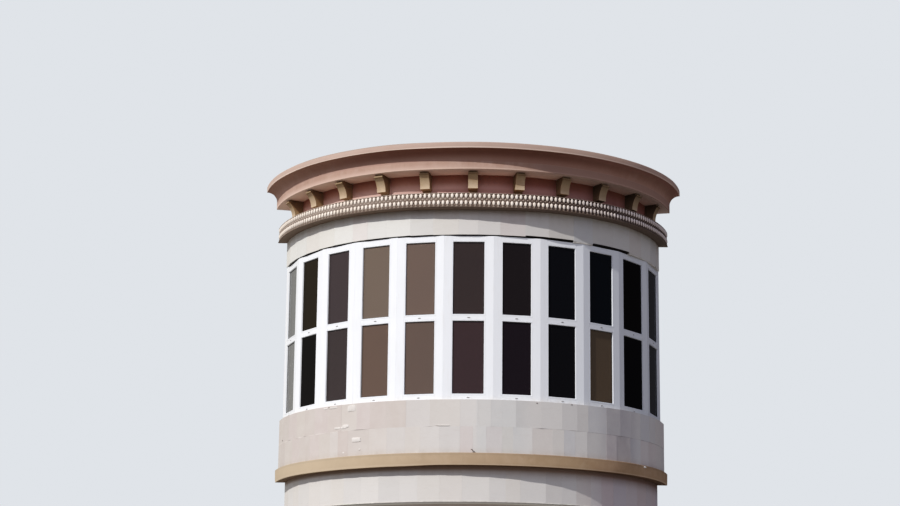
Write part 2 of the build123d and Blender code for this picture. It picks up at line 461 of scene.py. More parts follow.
# the lowest band of the face painted lighter: painted light where the face rounds under
low = g.math("MULTIPLY", g.math("SUBTRACT", 1.0, smooth(g, z, -0.056, -0.048)), smooth(g, rad, 2.274, 2.278))
c = g.mix(g.math("MULTIPLY", low, 0.30), c, (0.60, 0.495, 0.37))
c = g.mix(g.math("MULTIPLY", smooth(g, z, 0.034, 0.048), 0.8), c, g.mix(1.0, c, (0.87, 0.88, 0.90), "MULTIPLY"))
# the underside painted dark brown: painted shade under the string course
below = g.math("MULTIPLY", g.math("SUBTRACT", 1.0, smooth(g, z, -0.063, -0.060)),
               g.math("SUBTRACT", 1.0, smooth(g, rad, 2.272, 2.277)))
c = g.mix(g.math("MULTIPLY", below, 0.85), c, (0.135, 0.082, 0.050))
g.link(c, b.inputs["Base Color"])

mat_bracket, g, b, (o, s, rad, z, y), c = plaster(
    "bracket_render", (0.50, 0.385, 0.262), (0.40, 0.29, 0.185), (0.58, 0.47, 0.345), streak=0.35)
# the fronts keep the tan; cheeks and undersides are painted dark brown, darkest towards the soffit and at the right:
# painted shade
nx, ny, nz = g.sep(g.n.new("ShaderNodeNewGeometry").outputs["True Normal"])
ox, oy, oz = g.sep(o)
facing = g.math("DIVIDE", g.math("SUBTRACT", g.math("MULTIPLY", nx, ox),
                                 g.math("MULTIPLY", ny, g.math("SUBTRACT", CY / 1000.0, oy))), rad)
cheek = g.math("SUBTRACT", 1.0, smooth(g, facing, 0.25, 0.60))
# fronts painted darker towards the right: painted shade
c = g.mix(g.math("MULTIPLY", smooth(g, s, 0.5, 1.3), 0.62), c, (0.31, 0.24, 0.165))
# fronts painted lighter low down, painted light, and darker at the top under the cap, painted shade
c = g.mix(g.math("MULTIPLY", g.math("SUBTRACT", 1.0, smooth(g, z, 2.955, 3.010)), 0.35), c, (0.66, 0.55, 0.41))
c = g.mix(g.math("MULTIPLY", smooth(g, z, 3.010, 3.100), g.math("MULTIPLY_ADD", smooth(g, s, 0.2, 0.9), 0.22, 0.30)), c,
          (0.165, 0.118, 0.068))
# caps painted darker: painted shade under the fascia
c = g.mix(g.math("MULTIPLY", smooth(g, z, 3.096, 3.102), 0.55), c, (0.235, 0.165, 0.100))
shade_side = smooth(g, s, 1.25, 1.60)
c = g.mix(g.math("MULTIPLY", cheek, 0.85), c,
          g.mix(smooth(g, z, 2.960, 3.110), g.mix(shade_side, (0.262, 0.186, 0.108), (0.150, 0.100, 0.058)),
                g.mix(shade_side, (0.165, 0.104, 0.056), (0.064, 0.038, 0.022))))
# the foot and the bottom painted dark: painted shade under the sweep
c = g.mix(g.math("MULTIPLY", g.math("SUBTRACT", 1.0, smooth(g, z, 2.9500, 2.9530)), 0.85), c, (0.130, 0.075, 0.030))
g.link(c, b.inputs["Base Color"])

# ---- cream ovals and their dirty ground
mat_oval, g, b, (o, s, rad, z, y), c = plaster(
    "bead_cream", (0.88, 0.810, 0.730), (0.79, 0.705, 0.61), (0.93, 0.885, 0.82), streak=0.2, rough=0.7, bumpy=0.6)
# towards the right the ovals are painted darker ahead of the real shadow edge, lighter beyond it and darker again at
# the far end: painted shade and painted light
c = g.mix(g.math("MULTIPLY", smooth(g, s, 0.75, 1.25), 0.80), c, (0.62, 0.560, 0.532))
c = g.mix(g.math("MULTIPLY", smooth(g, s, 1.15, 1.45), 0.80), c, (0.47, 0.420, 0.395))
c = g.mix(g.math("MULTIPLY", smooth(g, s, 1.57, 1.74), 0.85), c, (0.80, 0.725, 0.690))
c = g.mix(g.math("MULTIPLY", smooth(g, s, 2.05, 2.50), 0.50), c, (0.46, 0.410, 0.390))
c = g.mix(g.math("MULTIPLY", g.math("SUBTRACT", 1.0, smooth(g, s, -2.45, -1.95)), 0.7), c, (0.66, 0.600, 0.535))
g.link(c, b.inputs["Base Color"])
mat_ground, g, b, (o, s, rad, z, y), c = plaster(
    "bead_ground", (0.235, 0.185, 0.155), (0.165, 0.124, 0.102), (0.32, 0.258, 0.220), streak=0.5, bumpy=1.2)
# paler towards the left, much darker towards the right: painted light and painted shade
z = g.attr("tint")               # nominal height, before the sway
c = g.mix(g.math("MULTIPLY", g.math("SUBTRACT", 1.0, smooth(g, s, -2.0, -0.5)), 0.6), c, (0.36, 0.298, 0.258))
c = g.mix(g.math("MULTIPLY", smooth(g, s, 0.1, 1.1), 0.85), c, (0.088, 0.063, 0.053))
c = g.mix(g.math("MULTIPLY", g.math("SUBTRACT", 1.0, smooth(g, z, 2.752, 2.764)), 0.75), c, (0.105, 0.078, 0.062))
# the top rim painted pale, most at the left and less towards the right: a paler rim with painted light
rim = g.math("MULTIPLY", smooth(g, z, 2.8805, 2.8825), g.math("SUBTRACT", 1.0, smooth(g, z, 2.8990, 2.8995)))
c = g.mix(g.math("MULTIPLY", rim, g.math("SUBTRACT", 0.9, g.math("MULTIPLY", smooth(g, s, -0.6, 0.9), 0.45))), c,
          (0.66, 0.56, 0.49))
c = g.mix(g.math("MULTIPLY", g.math("SUBTRACT", 1.0, smooth(g, z, 2.7320, 2.7350)), 0.9), c,
          g.mix(smooth(g, g.math("ABSOLUTE", s), 0.6, 1.5), (0.118, 0.089, 0.070), (0.195, 0.152, 0.124)))
c = g.mix(g.math("SUBTRACT", 1.0, smooth(g, z, 2.7228, 2.7240)), c,
          g.mix(smooth(g, s, -0.6, 1.0), (0.215, 0.165, 0.132), (0.200, 0.158, 0.132)))
g.link(c, b.inputs["Base Color"])
mat_lattice, g, b, (o, s, rad, z, y), c = plaster(
    "bead_lattice", (0.50, 0.420, 0.365), (0.37, 0.300, 0.255), (0.60, 0.525, 0.465), streak=0.4)
flute = g.math("SUBTRACT", 1.0, smooth(g, g.attr("tint"), 2.764, 2.770))
c = g.mix(g.math("MULTIPLY", flute, 0.85), c, (0.235, 0.188, 0.155))
# darker towards the right: painted shade
c = g.mix(g.math("MULTIPLY", smooth(g, s, 0.2, 1.1), 0.70), c, (0.115, 0.090, 0.078))
g.link(c, b.inputs["Base Color"])

# ---- stone slabs
def stone():
    m, nt, b = new_mat("sawn_limestone")
    g = G(nt)
    o, s, rad, z, y = g.unrolled()
    t = g.attr("tint")
    k = g.attr("other")
    v = g.comb(g.math("ADD", s, g.math("MULTIPLY", t, 37.0)), g.math("MULTIPLY", k, 11.0), z)
    base = g.ramp(t, [(0.00, (0.600, 0.590, 0.580)), (0.16, (0.628, 0.618, 0.606)),
                      (0.30, (0.612, 0.592, 0.565)), (0.42, (0.572, 0.564, 0.556)),
                      (0.55, (0.594, 0.566, 0.542)), (0.68, (0.608, 0.573, 0.565)),
                      (0.78, (0.588, 0.546, 0.536)), (0.86, (0.562, 0.527, 0.492)),
                      (0.93, (0.655, 0.646, 0.636)), (1.00, (0.560, 0.562, 0.572))])
    cloud = g.noise(v, 7.0, 5.0, 0.62, 0.6)
    vein = g.noise(g.comb(g.math("MULTIPLY", s, 3.0), t, g.math("MULTIPLY", z, 14.0)), 2.6, 6.0, 0.68, 1.6)
    grain = g.noise(o, 420.0, 2.0, 0.6)
    sill = g.math("MULTIPLY", smooth(g, z, 0.060, 0.066), g.math("SUBTRACT", 1.0, smooth(g, z, 0.640, 0.650)))
    base = g.mix(g.math("MULTIPLY", sill, g.math("SUBTRACT", 1.0, smooth(g, s, -1.9, 0.6))), base,
                 g.mix(1.0, base, (0.905, 0.862, 0.842), "MULTIPLY"))
    mid = g.math("MULTIPLY", smooth(g, s, 0.02, 0.06), g.math("SUBTRACT", 1.0, smooth(g, s, 0.45, 0.70)))
    base = g.mix(g.math("MULTIPLY", sill, g.math("MULTIPLY", mid, 0.9)), base,
                 g.mix(1.0, base, (0.925, 0.950, 0.965), "MULTIPLY"))
    # the sill wall painted darker where it turns out of the sun at the right: painted shade
    turn = g.math("MULTIPLY", smooth(g, s, 1.40, 1.66), g.math("SUBTRACT", 1.0, smooth(g, s, 1.92, 2.20)))
    base = g.mix(g.math("MULTIPLY", sill, turn), base, g.mix(1.0, base, (0.78, 0.77, 0.80), "MULTIPLY"))
    pits = g.voronoi(v, 150.0)
    c = g.mix(g.math("MULTIPLY", g.ramp(cloud, [(0.35, 0.0), (0.75, 1.0)]), 0.26), base, (0.68, 0.665, 0.645))
    c = g.mix(g.math("MULTIPLY", g.ramp(vein, [(0.52, 0.0), (0.70, 1.0)]), 0.18), c, (0.49, 0.45, 0.415))
    c = g.mix(g.math("MULTIPLY", g.ramp(grain, [(0.38, 1.0), (0.60, 0.0)]), 0.12), c, (0.36, 0.33, 0.30))
    # grime that washes down from the mouldings above
    stain_v = g.comb(s, 0.0, g.math("MULTIPLY", z, 0.12))
    stain = g.noise(stain_v, 9.0, 4.0, 0.6)
    under = g.math("MULTIPLY", smooth(g, z, 2.55, 2.73), g.math("SUBTRACT", 1.0, smooth(g, z, 2.745, 2.75)))
    under2 = g.math("MULTIPLY", smooth(g, z, -0.22, -0.06), g.math("SUBTRACT", 1.0, smooth(g, z, -0.06, -0.05)))
    foot = g.math("MULTIPLY", smooth(g, z, 0.06, 0.07), g.math("SUBTRACT", 1.0, smooth(g, z, 0.07, 0.14)))
    grime = g.math("MULTIPLY", g.math("MAXIMUM", g.math("MAXIMUM", under, under2), foot),
                   g.ramp(stain, [(0.35, 0.04), (0.70, 0.30)]))
    c = g.mix(grime, c, (0.33, 0.29, 0.24))
    # the head wall painted darker towards the right and lighter at the left: painted shade and painted light
    head = smooth(g, z, 2.430, 2.440)
    c = g.mix(g.math("MULTIPLY", head, smooth(g, s, 0.0, 1.6)), c, g.mix(1.0, c, (0.92, 0.93, 0.915), "MULTIPLY"))
    c = g.mix(g.math("MULTIPLY", head, g.math("SUBTRACT", 1.0, smooth(g, s, -1.1, 0.1))), c,
              g.mix(1.0, c, (1.10, 1.125, 1.115), "MULTIPLY"))
    # darker towards the band, strongest near the middle, gone towards the right end: soot and painted shade
    soot_and_shade = g.math("MULTIPLY", smooth(g, z, 2.640, 2.722), g.math("SUBTRACT", 1.0, smooth(g, z, 2.745, 2.750)))
    soot_and_shade = g.math("MULTIPLY", soot_and_shade, g.math("MULTIPLY_ADD", smooth(g, s, -2.5, -0.4), 0.26, 0.32))
    soot_and_shade = g.math("MULTIPLY", soot_and_shade, g.math("SUBTRACT", 1.0, smooth(g, s, 0.3, 1.25)))
    c = g.mix(soot_and_shade, c, (0.205, 0.155, 0.125))
    bed = g.math("MULTIPLY", smooth(g, z, -0.130, -0.088), g.math("SUBTRACT", 1.0, smooth(g, z, -0.060, -0.055)))
    c = g.mix(g.math("MULTIPLY", bed, 0.80), c, (0.245, 0.160, 0.108))
    wash = g.math("MULTIPLY", smooth(g, z, -0.215, -0.120), g.math("SUBTRACT", 1.0, smooth(g, z, -0.060, -0.055)))
    c = g.mix(g.math("MULTIPLY", wash, g.math("MULTIPLY", smooth(g, s, -0.7, 1.2), 0.34)), c, (0.30, 0.235, 0.205))
    bed2 = g.math("MULTIPLY", smooth(g, z, -0.165, -0.110), g.math("SUBTRACT", 1.0, smooth(g, z, -0.060, -0.055)))
    c = g.mix(g.math("MULTIPLY", bed2, g.math("MULTIPLY", smooth(g, s, -1.1, -0.3), 0.24)), c, (0.245, 0.160, 0.108))
    low_r = g.math("MULTIPLY", g.math("SUBTRACT", 1.0, smooth(g, z, -0.060, -0.055)), smooth(g, s, 1.2, 1.7))
    c = g.mix(low_r, c, g.mix(1.0, c, (0.88, 0.83, 0.86), "MULTIPLY"))
    # bed joint between the two courses under the windows: pale at the left, dark at the right
    course_j = g.math("SUBTRACT", 1.0, smooth(g, g.math("ABSOLUTE", g.math("SUBTRACT", z, 0.347)), 0.0030, 0.0048))
    broken = g.ramp(g.noise(g.comb(s, 0.0, 0.0), 5.0, 4.0, 0.6), [(0.42, 0.15), (0.60, 1.0)])
    course_j = g.math("MULTIPLY", course_j, broken)
    c = g.mix(g.math("MULTIPLY", course_j, g.math("MULTIPLY", smooth(g, s, 0.4, 1.0), 0.50)), c, (0.20, 0.18, 0.17))
    c = g.mix(g.math("MULTIPLY", course_j, g.math("MULTIPLY", g.math("SUBTRACT", 1.0, smooth(g, s, -1.9, -1.2)), 0.45)), c,
              (0.80, 0.765, 0.73))
    g.link(c, b.inputs["Base Color"])
    g.link(g.ramp(cloud, [(0.3, 0.62), (0.7, 0.80)]), b.inputs["Roughness"])
    b.inputs["Specular IOR Level"].default_value = 0.35
    h = g.bump(cloud, 0.25, 0.0025)
    h = g.bump(grain, 0.30, 0.0008, h)
    h = g.bump(g.ramp(pits, [(0.0, 0.0), (0.25, 1.0)]), 0.18, 0.0010, h)
    g.link(h, b.inputs["Normal"])
    return m


mat_stone = stone()


def core():
    """Wall behind the slabs: grey bedding outside, plaster inside, blocks on the cut ends."""
    m, nt, b = new_mat("wall_core")
    g = G(nt)
    o, s, rad, z, y = g.unrolled()
    n1 = g.noise(o, 14.0, 5.0, 0.65)
    n2 = g.noise(o, 190.0, 3.0, 0.6)
    n3 = g.noise(o, 1.7, 3.0, 0.5)
    mortar = g.mix(n1, (0.43, 0.415, 0.395), (0.55, 0.54, 0.52))
    inner = g.mix(g.ramp(n3, [(0.3, 0.0), (0.7, 1.0)]), (0.60, 0.565, 0.50), (0.70, 0.67, 0.61))
    inner = g.mix(g.math("MULTIPLY", g.ramp(n1, [(0.5, 0.0), (0.8, 1.0)]), 0.25), inner, (0.50, 0.455, 0.39))
    is_out = smooth(g, rad, 2.10, 2.12)
    c = g.mix(is_out, inner, mortar)
    # blockwork on the faces that meet the building
    bz = g.math("FRACT", g.math("DIVIDE", g.math("ADD", z, 5.0), 0.21))
    joint = g.math("SUBTRACT", 1.0, g.math("MULTIPLY", smooth(g, bz, 0.03, 0.06),
                                           g.math("SUBTRACT", 1.0, smooth(g, bz, 0.97, 0.995))))
    block = g.mix(n1, (0.30, 0.295, 0.28), (0.46, 0.45, 0.43))
    block = g.mix(g.math("MULTIPLY", joint, 0.8), block, (0.58, 0.565, 0.53))
    cut = smooth(g, y, -0.0012, -0.0006)
    c = g.mix(cut, c, block)
    g.link(c, b.inputs["Base Color"])
    b.inputs["Roughness"].default_value = 0.93
    b.inputs["Specular IOR Level"].default_value = 0.2
    h = g.bump(n1, 0.3, 0.004)
    h = g.bump(n2, 0.4, 0.0015, h)
    g.link(h, b.inputs["Normal"])
    return m


mat_core = core()


def frame_white():
    m, nt, b = new_mat("white_powder_coat")
    g = G(nt)
    o, s, rad, z, y = g.unrolled()
    n1 = g.noise(o, 3.0, 4.0, 0.6)
    n2 = g.noise(o, 900.0, 2.0, 0.5)
    dust_v = g.comb(g.math("MULTIPLY", s, 1.0), rad, g.math("MULTIPLY", z, 0.15))
    dust = g.noise(dust_v, 24.0, 4.0, 0.6)
    c = g.mix(n1, (0.785, 0.815, 0.855), (0.825, 0.855, 0.890))
    c = g.mix(g.math("MULTIPLY", g.ramp(dust, [(0.52, 0.0), (0.80, 1.0)]), 0.16), c, (0.62, 0.585, 0.53))
    # the frames painted darker towards the right: painted shade
    c = g.mix(smooth(g, s, 0.55, 1.75), c, g.mix(1.0, c, (0.82, 0.83, 0.85), "MULTIPLY"))
    lowd = g.math("MULTIPLY", g.math("SUBTRACT", 1.0, smooth(g, z, 0.63, 0.70)), g.ramp(dust, [(0.3, 0.1), (0.7, 0.4)]))
    c = g.mix(lowd, c, (0.60, 0.56, 0.50))
    g.link(c, b.inputs["Base Color"])
    g.link(g.ramp(n1, [(0.3, 0.34), (0.7, 0.46)]), b.inputs["Roughness"])
    b.inputs["Specular IOR Level"].default_value = 0.45
    g.link(g.bump(n2, 0.10, 0.0004), b.inputs["Normal"])
    return m


mat_frame = frame_white()


def simple(name, ca, cb, scale, rough, spec=0.4, bumps=((60.0, 0.2, 0.001),)):
    m, nt, b = new_mat(name)
    g = G(nt)
    o = g.obj()
    n1 = g.noise(o, scale, 4.0, 0.6)
    g.link(g.mix(g.ramp(n1, [(0.3, 0.0), (0.7, 1.0)]), ca, cb), b.inputs["Base Color"])
    g.link(g.ramp(n1, [(0.3, max(0.02, rough - 0.06)), (0.7, rough + 0.06)]), b.inputs["Roughness"])
    b.inputs["Specular IOR Level"].default_value = spec
    h = None
    for sc, st, di in bumps:
        h = g.bump(g.noise(o, sc, 3.0, 0.6), st, di, h)
    if h is not None:
        g.link(h, b.inputs["Normal"])
    return m


mat_gasket = simple("black_gasket", (0.012, 0.012, 0.012), (0.03, 0.03, 0.03), 60.0, 0.62)
mat_gap_shade = simple("joint_shadow_packing", (0.010, 0.009, 0.008), (0.035, 0.03, 0.026), 40.0, 0.9)
mat_fill = simple("joint_mortar", (0.52, 0.50, 0.465), (0.68, 0.66, 0.62), 22.0, 0.9, 0.2,
                  ((45.0, 0.5, 0.004), (260.0, 0.3, 0.001)))
mat_seal = simple("silicone_seal", (0.62, 0.61, 0.58), (0.76, 0.75, 0.72), 30.0, 0.45)
mat_cap = simple("drain_cap_grey", (0.42, 0.42, 0.43), (0.56, 0.56, 0.56), 200.0, 0.42)
mat_hollow_shade = simple("drain_slot_dark", (0.02, 0.02, 0.02), (0.05, 0.045, 0.04), 200.0, 0.8)
mat_nail = simple("rusty_nail", (0.035, 0.022, 0.016), (0.10, 0.05, 0.03), 240.0, 0.7, 0.4)
mat_pale_spot = simple("pale_spot_paint", (0.80, 0.79, 0.76), (0.88, 0.87, 0.85), 120.0, 0.9, 0.2)


def concrete(name, ca, cb, cc):
    m, nt, b = new_mat(name)
    g = G(nt)
    o = g.obj()
    n1 = g.noise(o, 2.2, 5.0, 0.62, 0.5)
    n2 = g.noise(o, 22.0, 5.0, 0.65)
    n3 = g.noise(o, 240.0, 3.0, 0.6)
    c = g.mix(g.ramp(n1, [(0.3, 0.0), (0.7, 1.0)]), ca, cb)
    c = g.mix(g.math("MULTIPLY", g.ramp(n2, [(0.5, 0.0), (0.78, 1.0)]), 0.4), c, cc)
    c = g.mix(g.math("MULTIPLY", g.ramp(n3, [(0.38, 1.0), (0.6, 0.0)]), 0.15), c, tuple(0.5 * k for k in ca))
    g.link(c, b.inputs["Base Color"])
    g.link(g.ramp(n2, [(0.3, 0.78), (0.7, 0.94)]), b.inputs["Roughness"])
    b.inputs["Specular IOR Level"].default_value = 0.25
    h = g.bump(n2, 0.3, 0.004)
    h = g.bump(n3, 0.35, 0.0015, h)
    g.link(h, b.inputs["Normal"])
    return m


mat_floor = concrete("floor_screed", (0.42, 0.40, 0.37), (0.50, 0.48, 0.45), (0.36, 0.34, 0.31))
mat_roof = concrete("roof_screed", (0.44, 0.42, 0.39), (0.53, 0.51, 0.47), (0.30, 0.28, 0.25))
mat_soffit = concrete("soffit_plaster", (0.42, 0.36, 0.315), (0.48, 0.42, 0.37), (0.33, 0.275, 0.235))


def glass():
    m, nt, b = new_mat("bronze_glass")
    g = G(nt)
    o = g.obj()
    col = g.attr_col("pane")
    n1 = g.noise(o, 1.1, 3.0, 0.5)
    n2 = g.noise(o, 9.0, 5.0, 0.6)
    c = g.mix(g.math("MULTIPLY", n1, 0.35), col, g.mix(1.0, col, (1.25, 1.15, 1.05), "MULTIPLY"))
    g.link(c, b.inputs["Base Color"])
    g.link(g.ramp(n2, [(0.4, 0.015), (0.8, 0.07)]), b.inputs["Roughness"])
    b.inputs["IOR"].default_value = 1.20
    b.inputs["Specular IOR Level"].default_value = 0.20
    b.inputs["Transmission Weight"].default_value = 0.45
    g.link(g.bump(n1, 0.05, 0.002), b.inputs["Normal"])
    return m


mat_glass = glass()

# CAD slabs keep their solids and take a full finish; the head packing strip takes the dark gap material: packing,
# coloured black for the shade in the joint
for node, mat in (("floor_slab", mat_floor), ("roof_slab", mat_roof), ("bottom_soffit", mat_soffit),
                  ("head_packing_strip", mat_gap_shade)):
    ob = NODES[node]
    ob.data.materials.clear()
    ob.data.materials.append(mat)

# ---------------------------------------------------------------- walls
def wall_core(name, r0, r1, z0, z1, nodes, wob=None):
    B = Build()
    prof = densify([(r0, z0), (r1, z0), (r1, z1), (r0, z1)], 90.0)
    ring(B, prof, 240, wob=wob)
    return B.make(name, mat_core, "stone_cladding", nodes)


wall_core("lower_wall_core", 1968.0, 2164.5, -445.0, -65.0, ["lower_wall_%s" % k for k in SIDES],
          lambda r, deg, z: (belly(deg) * ease(r, 1980.0, 2160.0), 0.0))
wall_core("sill_wall_core", 2050.0, 2246.5, 65.0, 630.0, ["sill_wall_%s" % k for k in SIDES])
wall_core("head_wall_core", 2020.0, 2216.5, 2453.0, Z_BB, ["head_wall_%s" % k for k in SIDES])


def slab_tile(B, R, a0, a1, z0, z1, proud, tint, rnd, depth=9.0, joint=0.12):
    """One flat sawn slab on the curve, with worn arrises and its back bedded in the core."""
    R0, R1 = (R(a0), R(a1)) if callable(R) else (R, R)
    p0 = Vector(pol(R0 + proud, a0, 0)) * 1000.0
    p1 = Vector(pol(R1 + proud, a1, 0)) * 1000.0
    t = (p1 - p0)
    L = t.length
    t.normalize()
    nrm = Vector((t.y, -t.x, 0.0))
    mid = (p0 + p1) / 2 - Vector((0, CY, 0))
    if nrm.dot(mid) < 0:
        nrm = -nrm
    lean = rnd.uniform(-0.5, 0.5)
    tilt = rnd.uniform(-0.4, 0.4)
    H = z1 - z0
    bev = 0.35
    us = [joint, joint + bev, L * 0.28, L * 0.5, L * 0.72, L - joint - bev, L - joint]
    hs = [joint, joint + bev, H * 0.25, H * 0.5, H * 0.75, H - joint - bev, H - joint]
    nu, nh = len(us), len(hs)
    verts, faces = [], []
    sd = rnd.uniform(0, 100)
    for j, h in enumerate(hs):
        for i, u in enumerate(us):
            edge = i in (0, nu - 1) or j in (0, nh - 1)
            w = lean * (u / L - 0.5) * 2 + tilt * (h / H - 0.5) * 2
            w += 0.5 * noise.noise(Vector((u / 90.0, h / 90.0, sd)))
            if edge:
                w -= bev * (0.7 + 0.7 * abs(noise.noise(Vector((u / 25.0 + 5, h / 25.0, sd + 9)))))
            q = p0 + t * u + nrm * w
            verts.append((q.x / 1000, q.y / 1000, (z0 + h) / 1000))
    for j in range(nh - 1):
        for i in range(nu - 1):
            a = j * nu + i
            faces.append((a, a + 1, a + 1 + nu, a + nu))
    loop = ([i for i in range(nu)] + [j * nu + nu - 1 for j in range(1, nh)]
            + [(nh - 1) * nu + i for i in range(nu - 2, -1, -1)] + [j * nu for j in range(nh - 2, 0, -1)])
    off = len(verts)
    for k in loop:
        v = Vector(verts[k])
        j, i = divmod(k, nu)
        q = p0 + t * us[i] - nrm * depth
        verts.append((q.x / 1000, min(q.y / 1000, 0.0), v.z))
    m = len(loop)
    for k in range(m):
        k2 = (k + 1) % m
        faces.append((loop[k2], loop[k], off + k, off + k2))
    faces.append(tuple(off + k for k in range(m)))
    B.add(verts, faces, tint, rnd.random())


TINTS = {"g": 0.02, "l": 0.16, "c": 0.30, "d": 0.42, "t": 0.55, "p": 0.68, "r": 0.78, "b": 0.86, "w": 0.93, "u": 1.0}


def course(B, R, z0, z1, joints, kinds, seed):
    rnd = random.Random(seed)
    for i in range(len(joints) - 1):
        k = kinds[i % len(kinds)]
        tint = max(0.0, min(1.0, TINTS[k] + rnd.uniform(-0.035, 0.035)))
        zt = z1(0.5 * (joints[i] + joints[i + 1])) if callable(z1) else z1
        slab_tile(B, R, joints[i], joints[i + 1], z0, zt, 3.0 + rnd.uniform(-0.4, 0.6), tint, rnd)


def spread(a0, a1, R, seed, lo=180.0, hi=300.0):
    """Irregular joints between two angles, slab widths in mm."""
    rnd = random.Random(seed)
    out = [a0]
    while True:
        w = math.degrees(rnd.uniform(lo, hi) / R)
        if out[-1] + 1.5 * w > a1:
            break
        out.append(out[-1] + w)
    out.append(a1)
    return out


E_SILL = wall_end(2253.0) - 0.05
E_HEAD = wall_end(2223.0) - 0.05
E_LOW = wall_end(2171.0) - 0.05

B = Build()
up = [-E_SILL, -72.0, -66.0, -60.2, -55.4, -50.3, -44.5, -39.2, -33.7, -29.3, -24.3, -18.4, -11.6, -3.4, 1.4, 5.0,
      8.0, 11.8, 18.9, 25.2, 30.0, 33.7, 40.3, 46.0, 51.0, 56.1, 61.8, 66.6, 72.7, E_SILL]
up_k = "ctpctptcprbgclwgldlgdudlgudtpd"
course(B, 2250.0, 347.0, lambda d: 636.5 + 4.5 * ease(d, 34.0, 50.0), up, up_k, 11)
lo = [-E_SILL, -74.8, -69.4, -63.0, -58.2, -52.4, -48.0, -43.4, -40.3, -36.6, -29.5, -24.0, -18.6, -14.3, -9.0, -3.4,
      0.1, 3.7, 8.0, 11.0, 16.4, 22.2, 25.8, 29.3, 33.3, 40.2, 44.3, 50.6, 56.0, 61.0, 67.4, 72.3, E_SILL]
lo_k = "ctcptpclrtwgclgrlpcltculdptuprtd"
course(B, 2250.0, 65.0, 347.0, lo, lo_k, 12)
B.make("sill_wall_slabs", mat_stone, "stone_cladding", sharp=20)

# mortar bed behind the slabs' top arris, under the frames
B = Build()
prof = densify([(2190.0, 629.0), (2244.0, 629.0), (2244.0, 635.0), (2190.0, 636.5)], 18.0)
ring(B, prof, 320, wob=waver(0.0, 1.2, 9.0, 31.0))
B.make("sill_mortar_bed", mat_fill, "stone_cladding", sharp=40)

# dark packing deep in the joint over the frames: a dark sheet for the shade in the gap
B = Build()
ring(B, densify([(2100.0, 2441.3), (2189.0, 2441.3), (2189.0, 2454.5), (2100.0, 2454.5)], 60.0), 240)
B.make("head_joint_shade_packing", mat_gap_shade, "joint_packing", sharp=30)


def head_low(deg):
    """Underside of the stone over the frames: the joint is uneven and gapes in two places."""
    return 2442.0 + rise(deg) + (9.0 if 14.6 < deg < 29.6 else 11.0 if 36.3 < deg < 52.2 else 0.0)


B = Build()
hj = spread(-E_HEAD, 14.6, 2220.0, 5, 200.0, 290.0) + [21.6, 29.6, 36.3, 44.4, 52.2] \
    + spread(52.2, E_HEAD, 2220.0, 6, 200.0, 290.0)[1:]
rnd = random.Random(13)
kinds = "clgtclpgldclgplcudgtldcgpl"
for i in range(len(hj) - 1):
    md = (hj[i] + hj[i + 1]) / 2
    slab_tile(B, 2220.0, hj[i], hj[i + 1], head_low(md), Z_BB + 27.0, 3.0 + rnd.uniform(-0.4, 0.6),
              max(0.0, min(1.0, TINTS[kinds[i % len(kinds)]] + rnd.uniform(-0.035, 0.035))), rnd)
B.make("head_wall_slabs", mat_stone, "stone_cladding", sharp=20)

# black strip pressed up into the two gaping stretches of the joint: a dark sheet for the shade in the gap
B = Build()
for a0, a1 in ((14.8, 29.4), (36.5, 52.0)):
    zt = head_low(0.5 * (a0 + a1))
    prof = [(2184.0, zt - 4.0), (2221.0, zt - 2.2), (2222.3, zt + 0.4), (2222.3, zt + 1.6), (2184.0, zt + 1.6)]
    ring(B, prof, 60, a0=a0, a1=a1, wob=waver(0.5, 0.0, 9.0, 41.0))
B.make("head_joint_shade_strip", mat_gap_shade, "joint_packing", sharp=30)

B = Build()
lw = [-E_LOW, -72.0, -66.4, -61.9, -55.0, -49.2, -44.6, -39.3, -33.0, -27.2, -20.7, -15.4, -9.0, -2.8, 4.8, 9.4, 13.6,
      21.1, 26.0, 30.8, 36.0, 39.9, 45.0, 51.1, 57.4, 63.8, 69.0, 74.0, E_LOW]
course(B, lambda d: 2168.0 + belly(d), -445.0, -65.0, lw, "clcgwlcgldgcwlgcldgtlpugtdpu", 14)
B.make("lower_wall_slabs", mat_stone, "stone_cladding", sharp=20)

# ---------------------------------------------------------------- mouldings
B = Build()
prof = rounded([(2160.0, -65.0), (2282.0, -65.0), (2285.0, -30.0), (2286.5, 65.0), (2160.0, 65.0)],
               {1: 3.0, 2: 20.0, 3: 6.0}, 4)
prof = densify(prof, 24.0)
string_wave = waver(2.2, 1.6, 2.1, 3.0)


def string_wob(r, deg, z):
    """The string course is about 8 mm deeper on its left half."""
    dr, dz = string_wave(r, deg, z)
    return dr, dz - 8.5 * (1.0 - ease(deg, -20.0, -8.0)) * (1.0 - ease(z, -64.0, -20.0))


ring(B, prof, 420, wob=string_wob)
B.make("string_course_moulding", mat_tan, "tan_plaster", ["string_course_%s" % k for k in SIDES], sharp=40)

B = Build()
prof = rounded([(2020.0, Z_BB), (2206.0, Z_BB), (2206.0, Z_BB + 40.0), (2220.0, Z_BB + 40.0), (2220.0, Z_BT),
                (2150.0, Z_BT), (2150.0, 3138.0), (2020.0, 3138.0)], {5: 14.0}, 4)
prof = densify(prof, 45.0)
ring(B, prof, 320, wob=waver(1.2, 0.0, 2.6, 7.0))
mat_frieze, g, bb, (o, s, rad, z, y), c = plaster("frieze_render", (0.43, 0.275, 0.222), (0.36, 0.218, 0.172),
                                                  (0.48, 0.345, 0.295), streak=0.5)
inner = g.mix(g.noise(o, 1.7, 3.0, 0.5), (0.60, 0.565, 0.50), (0.70, 0.67, 0.61))
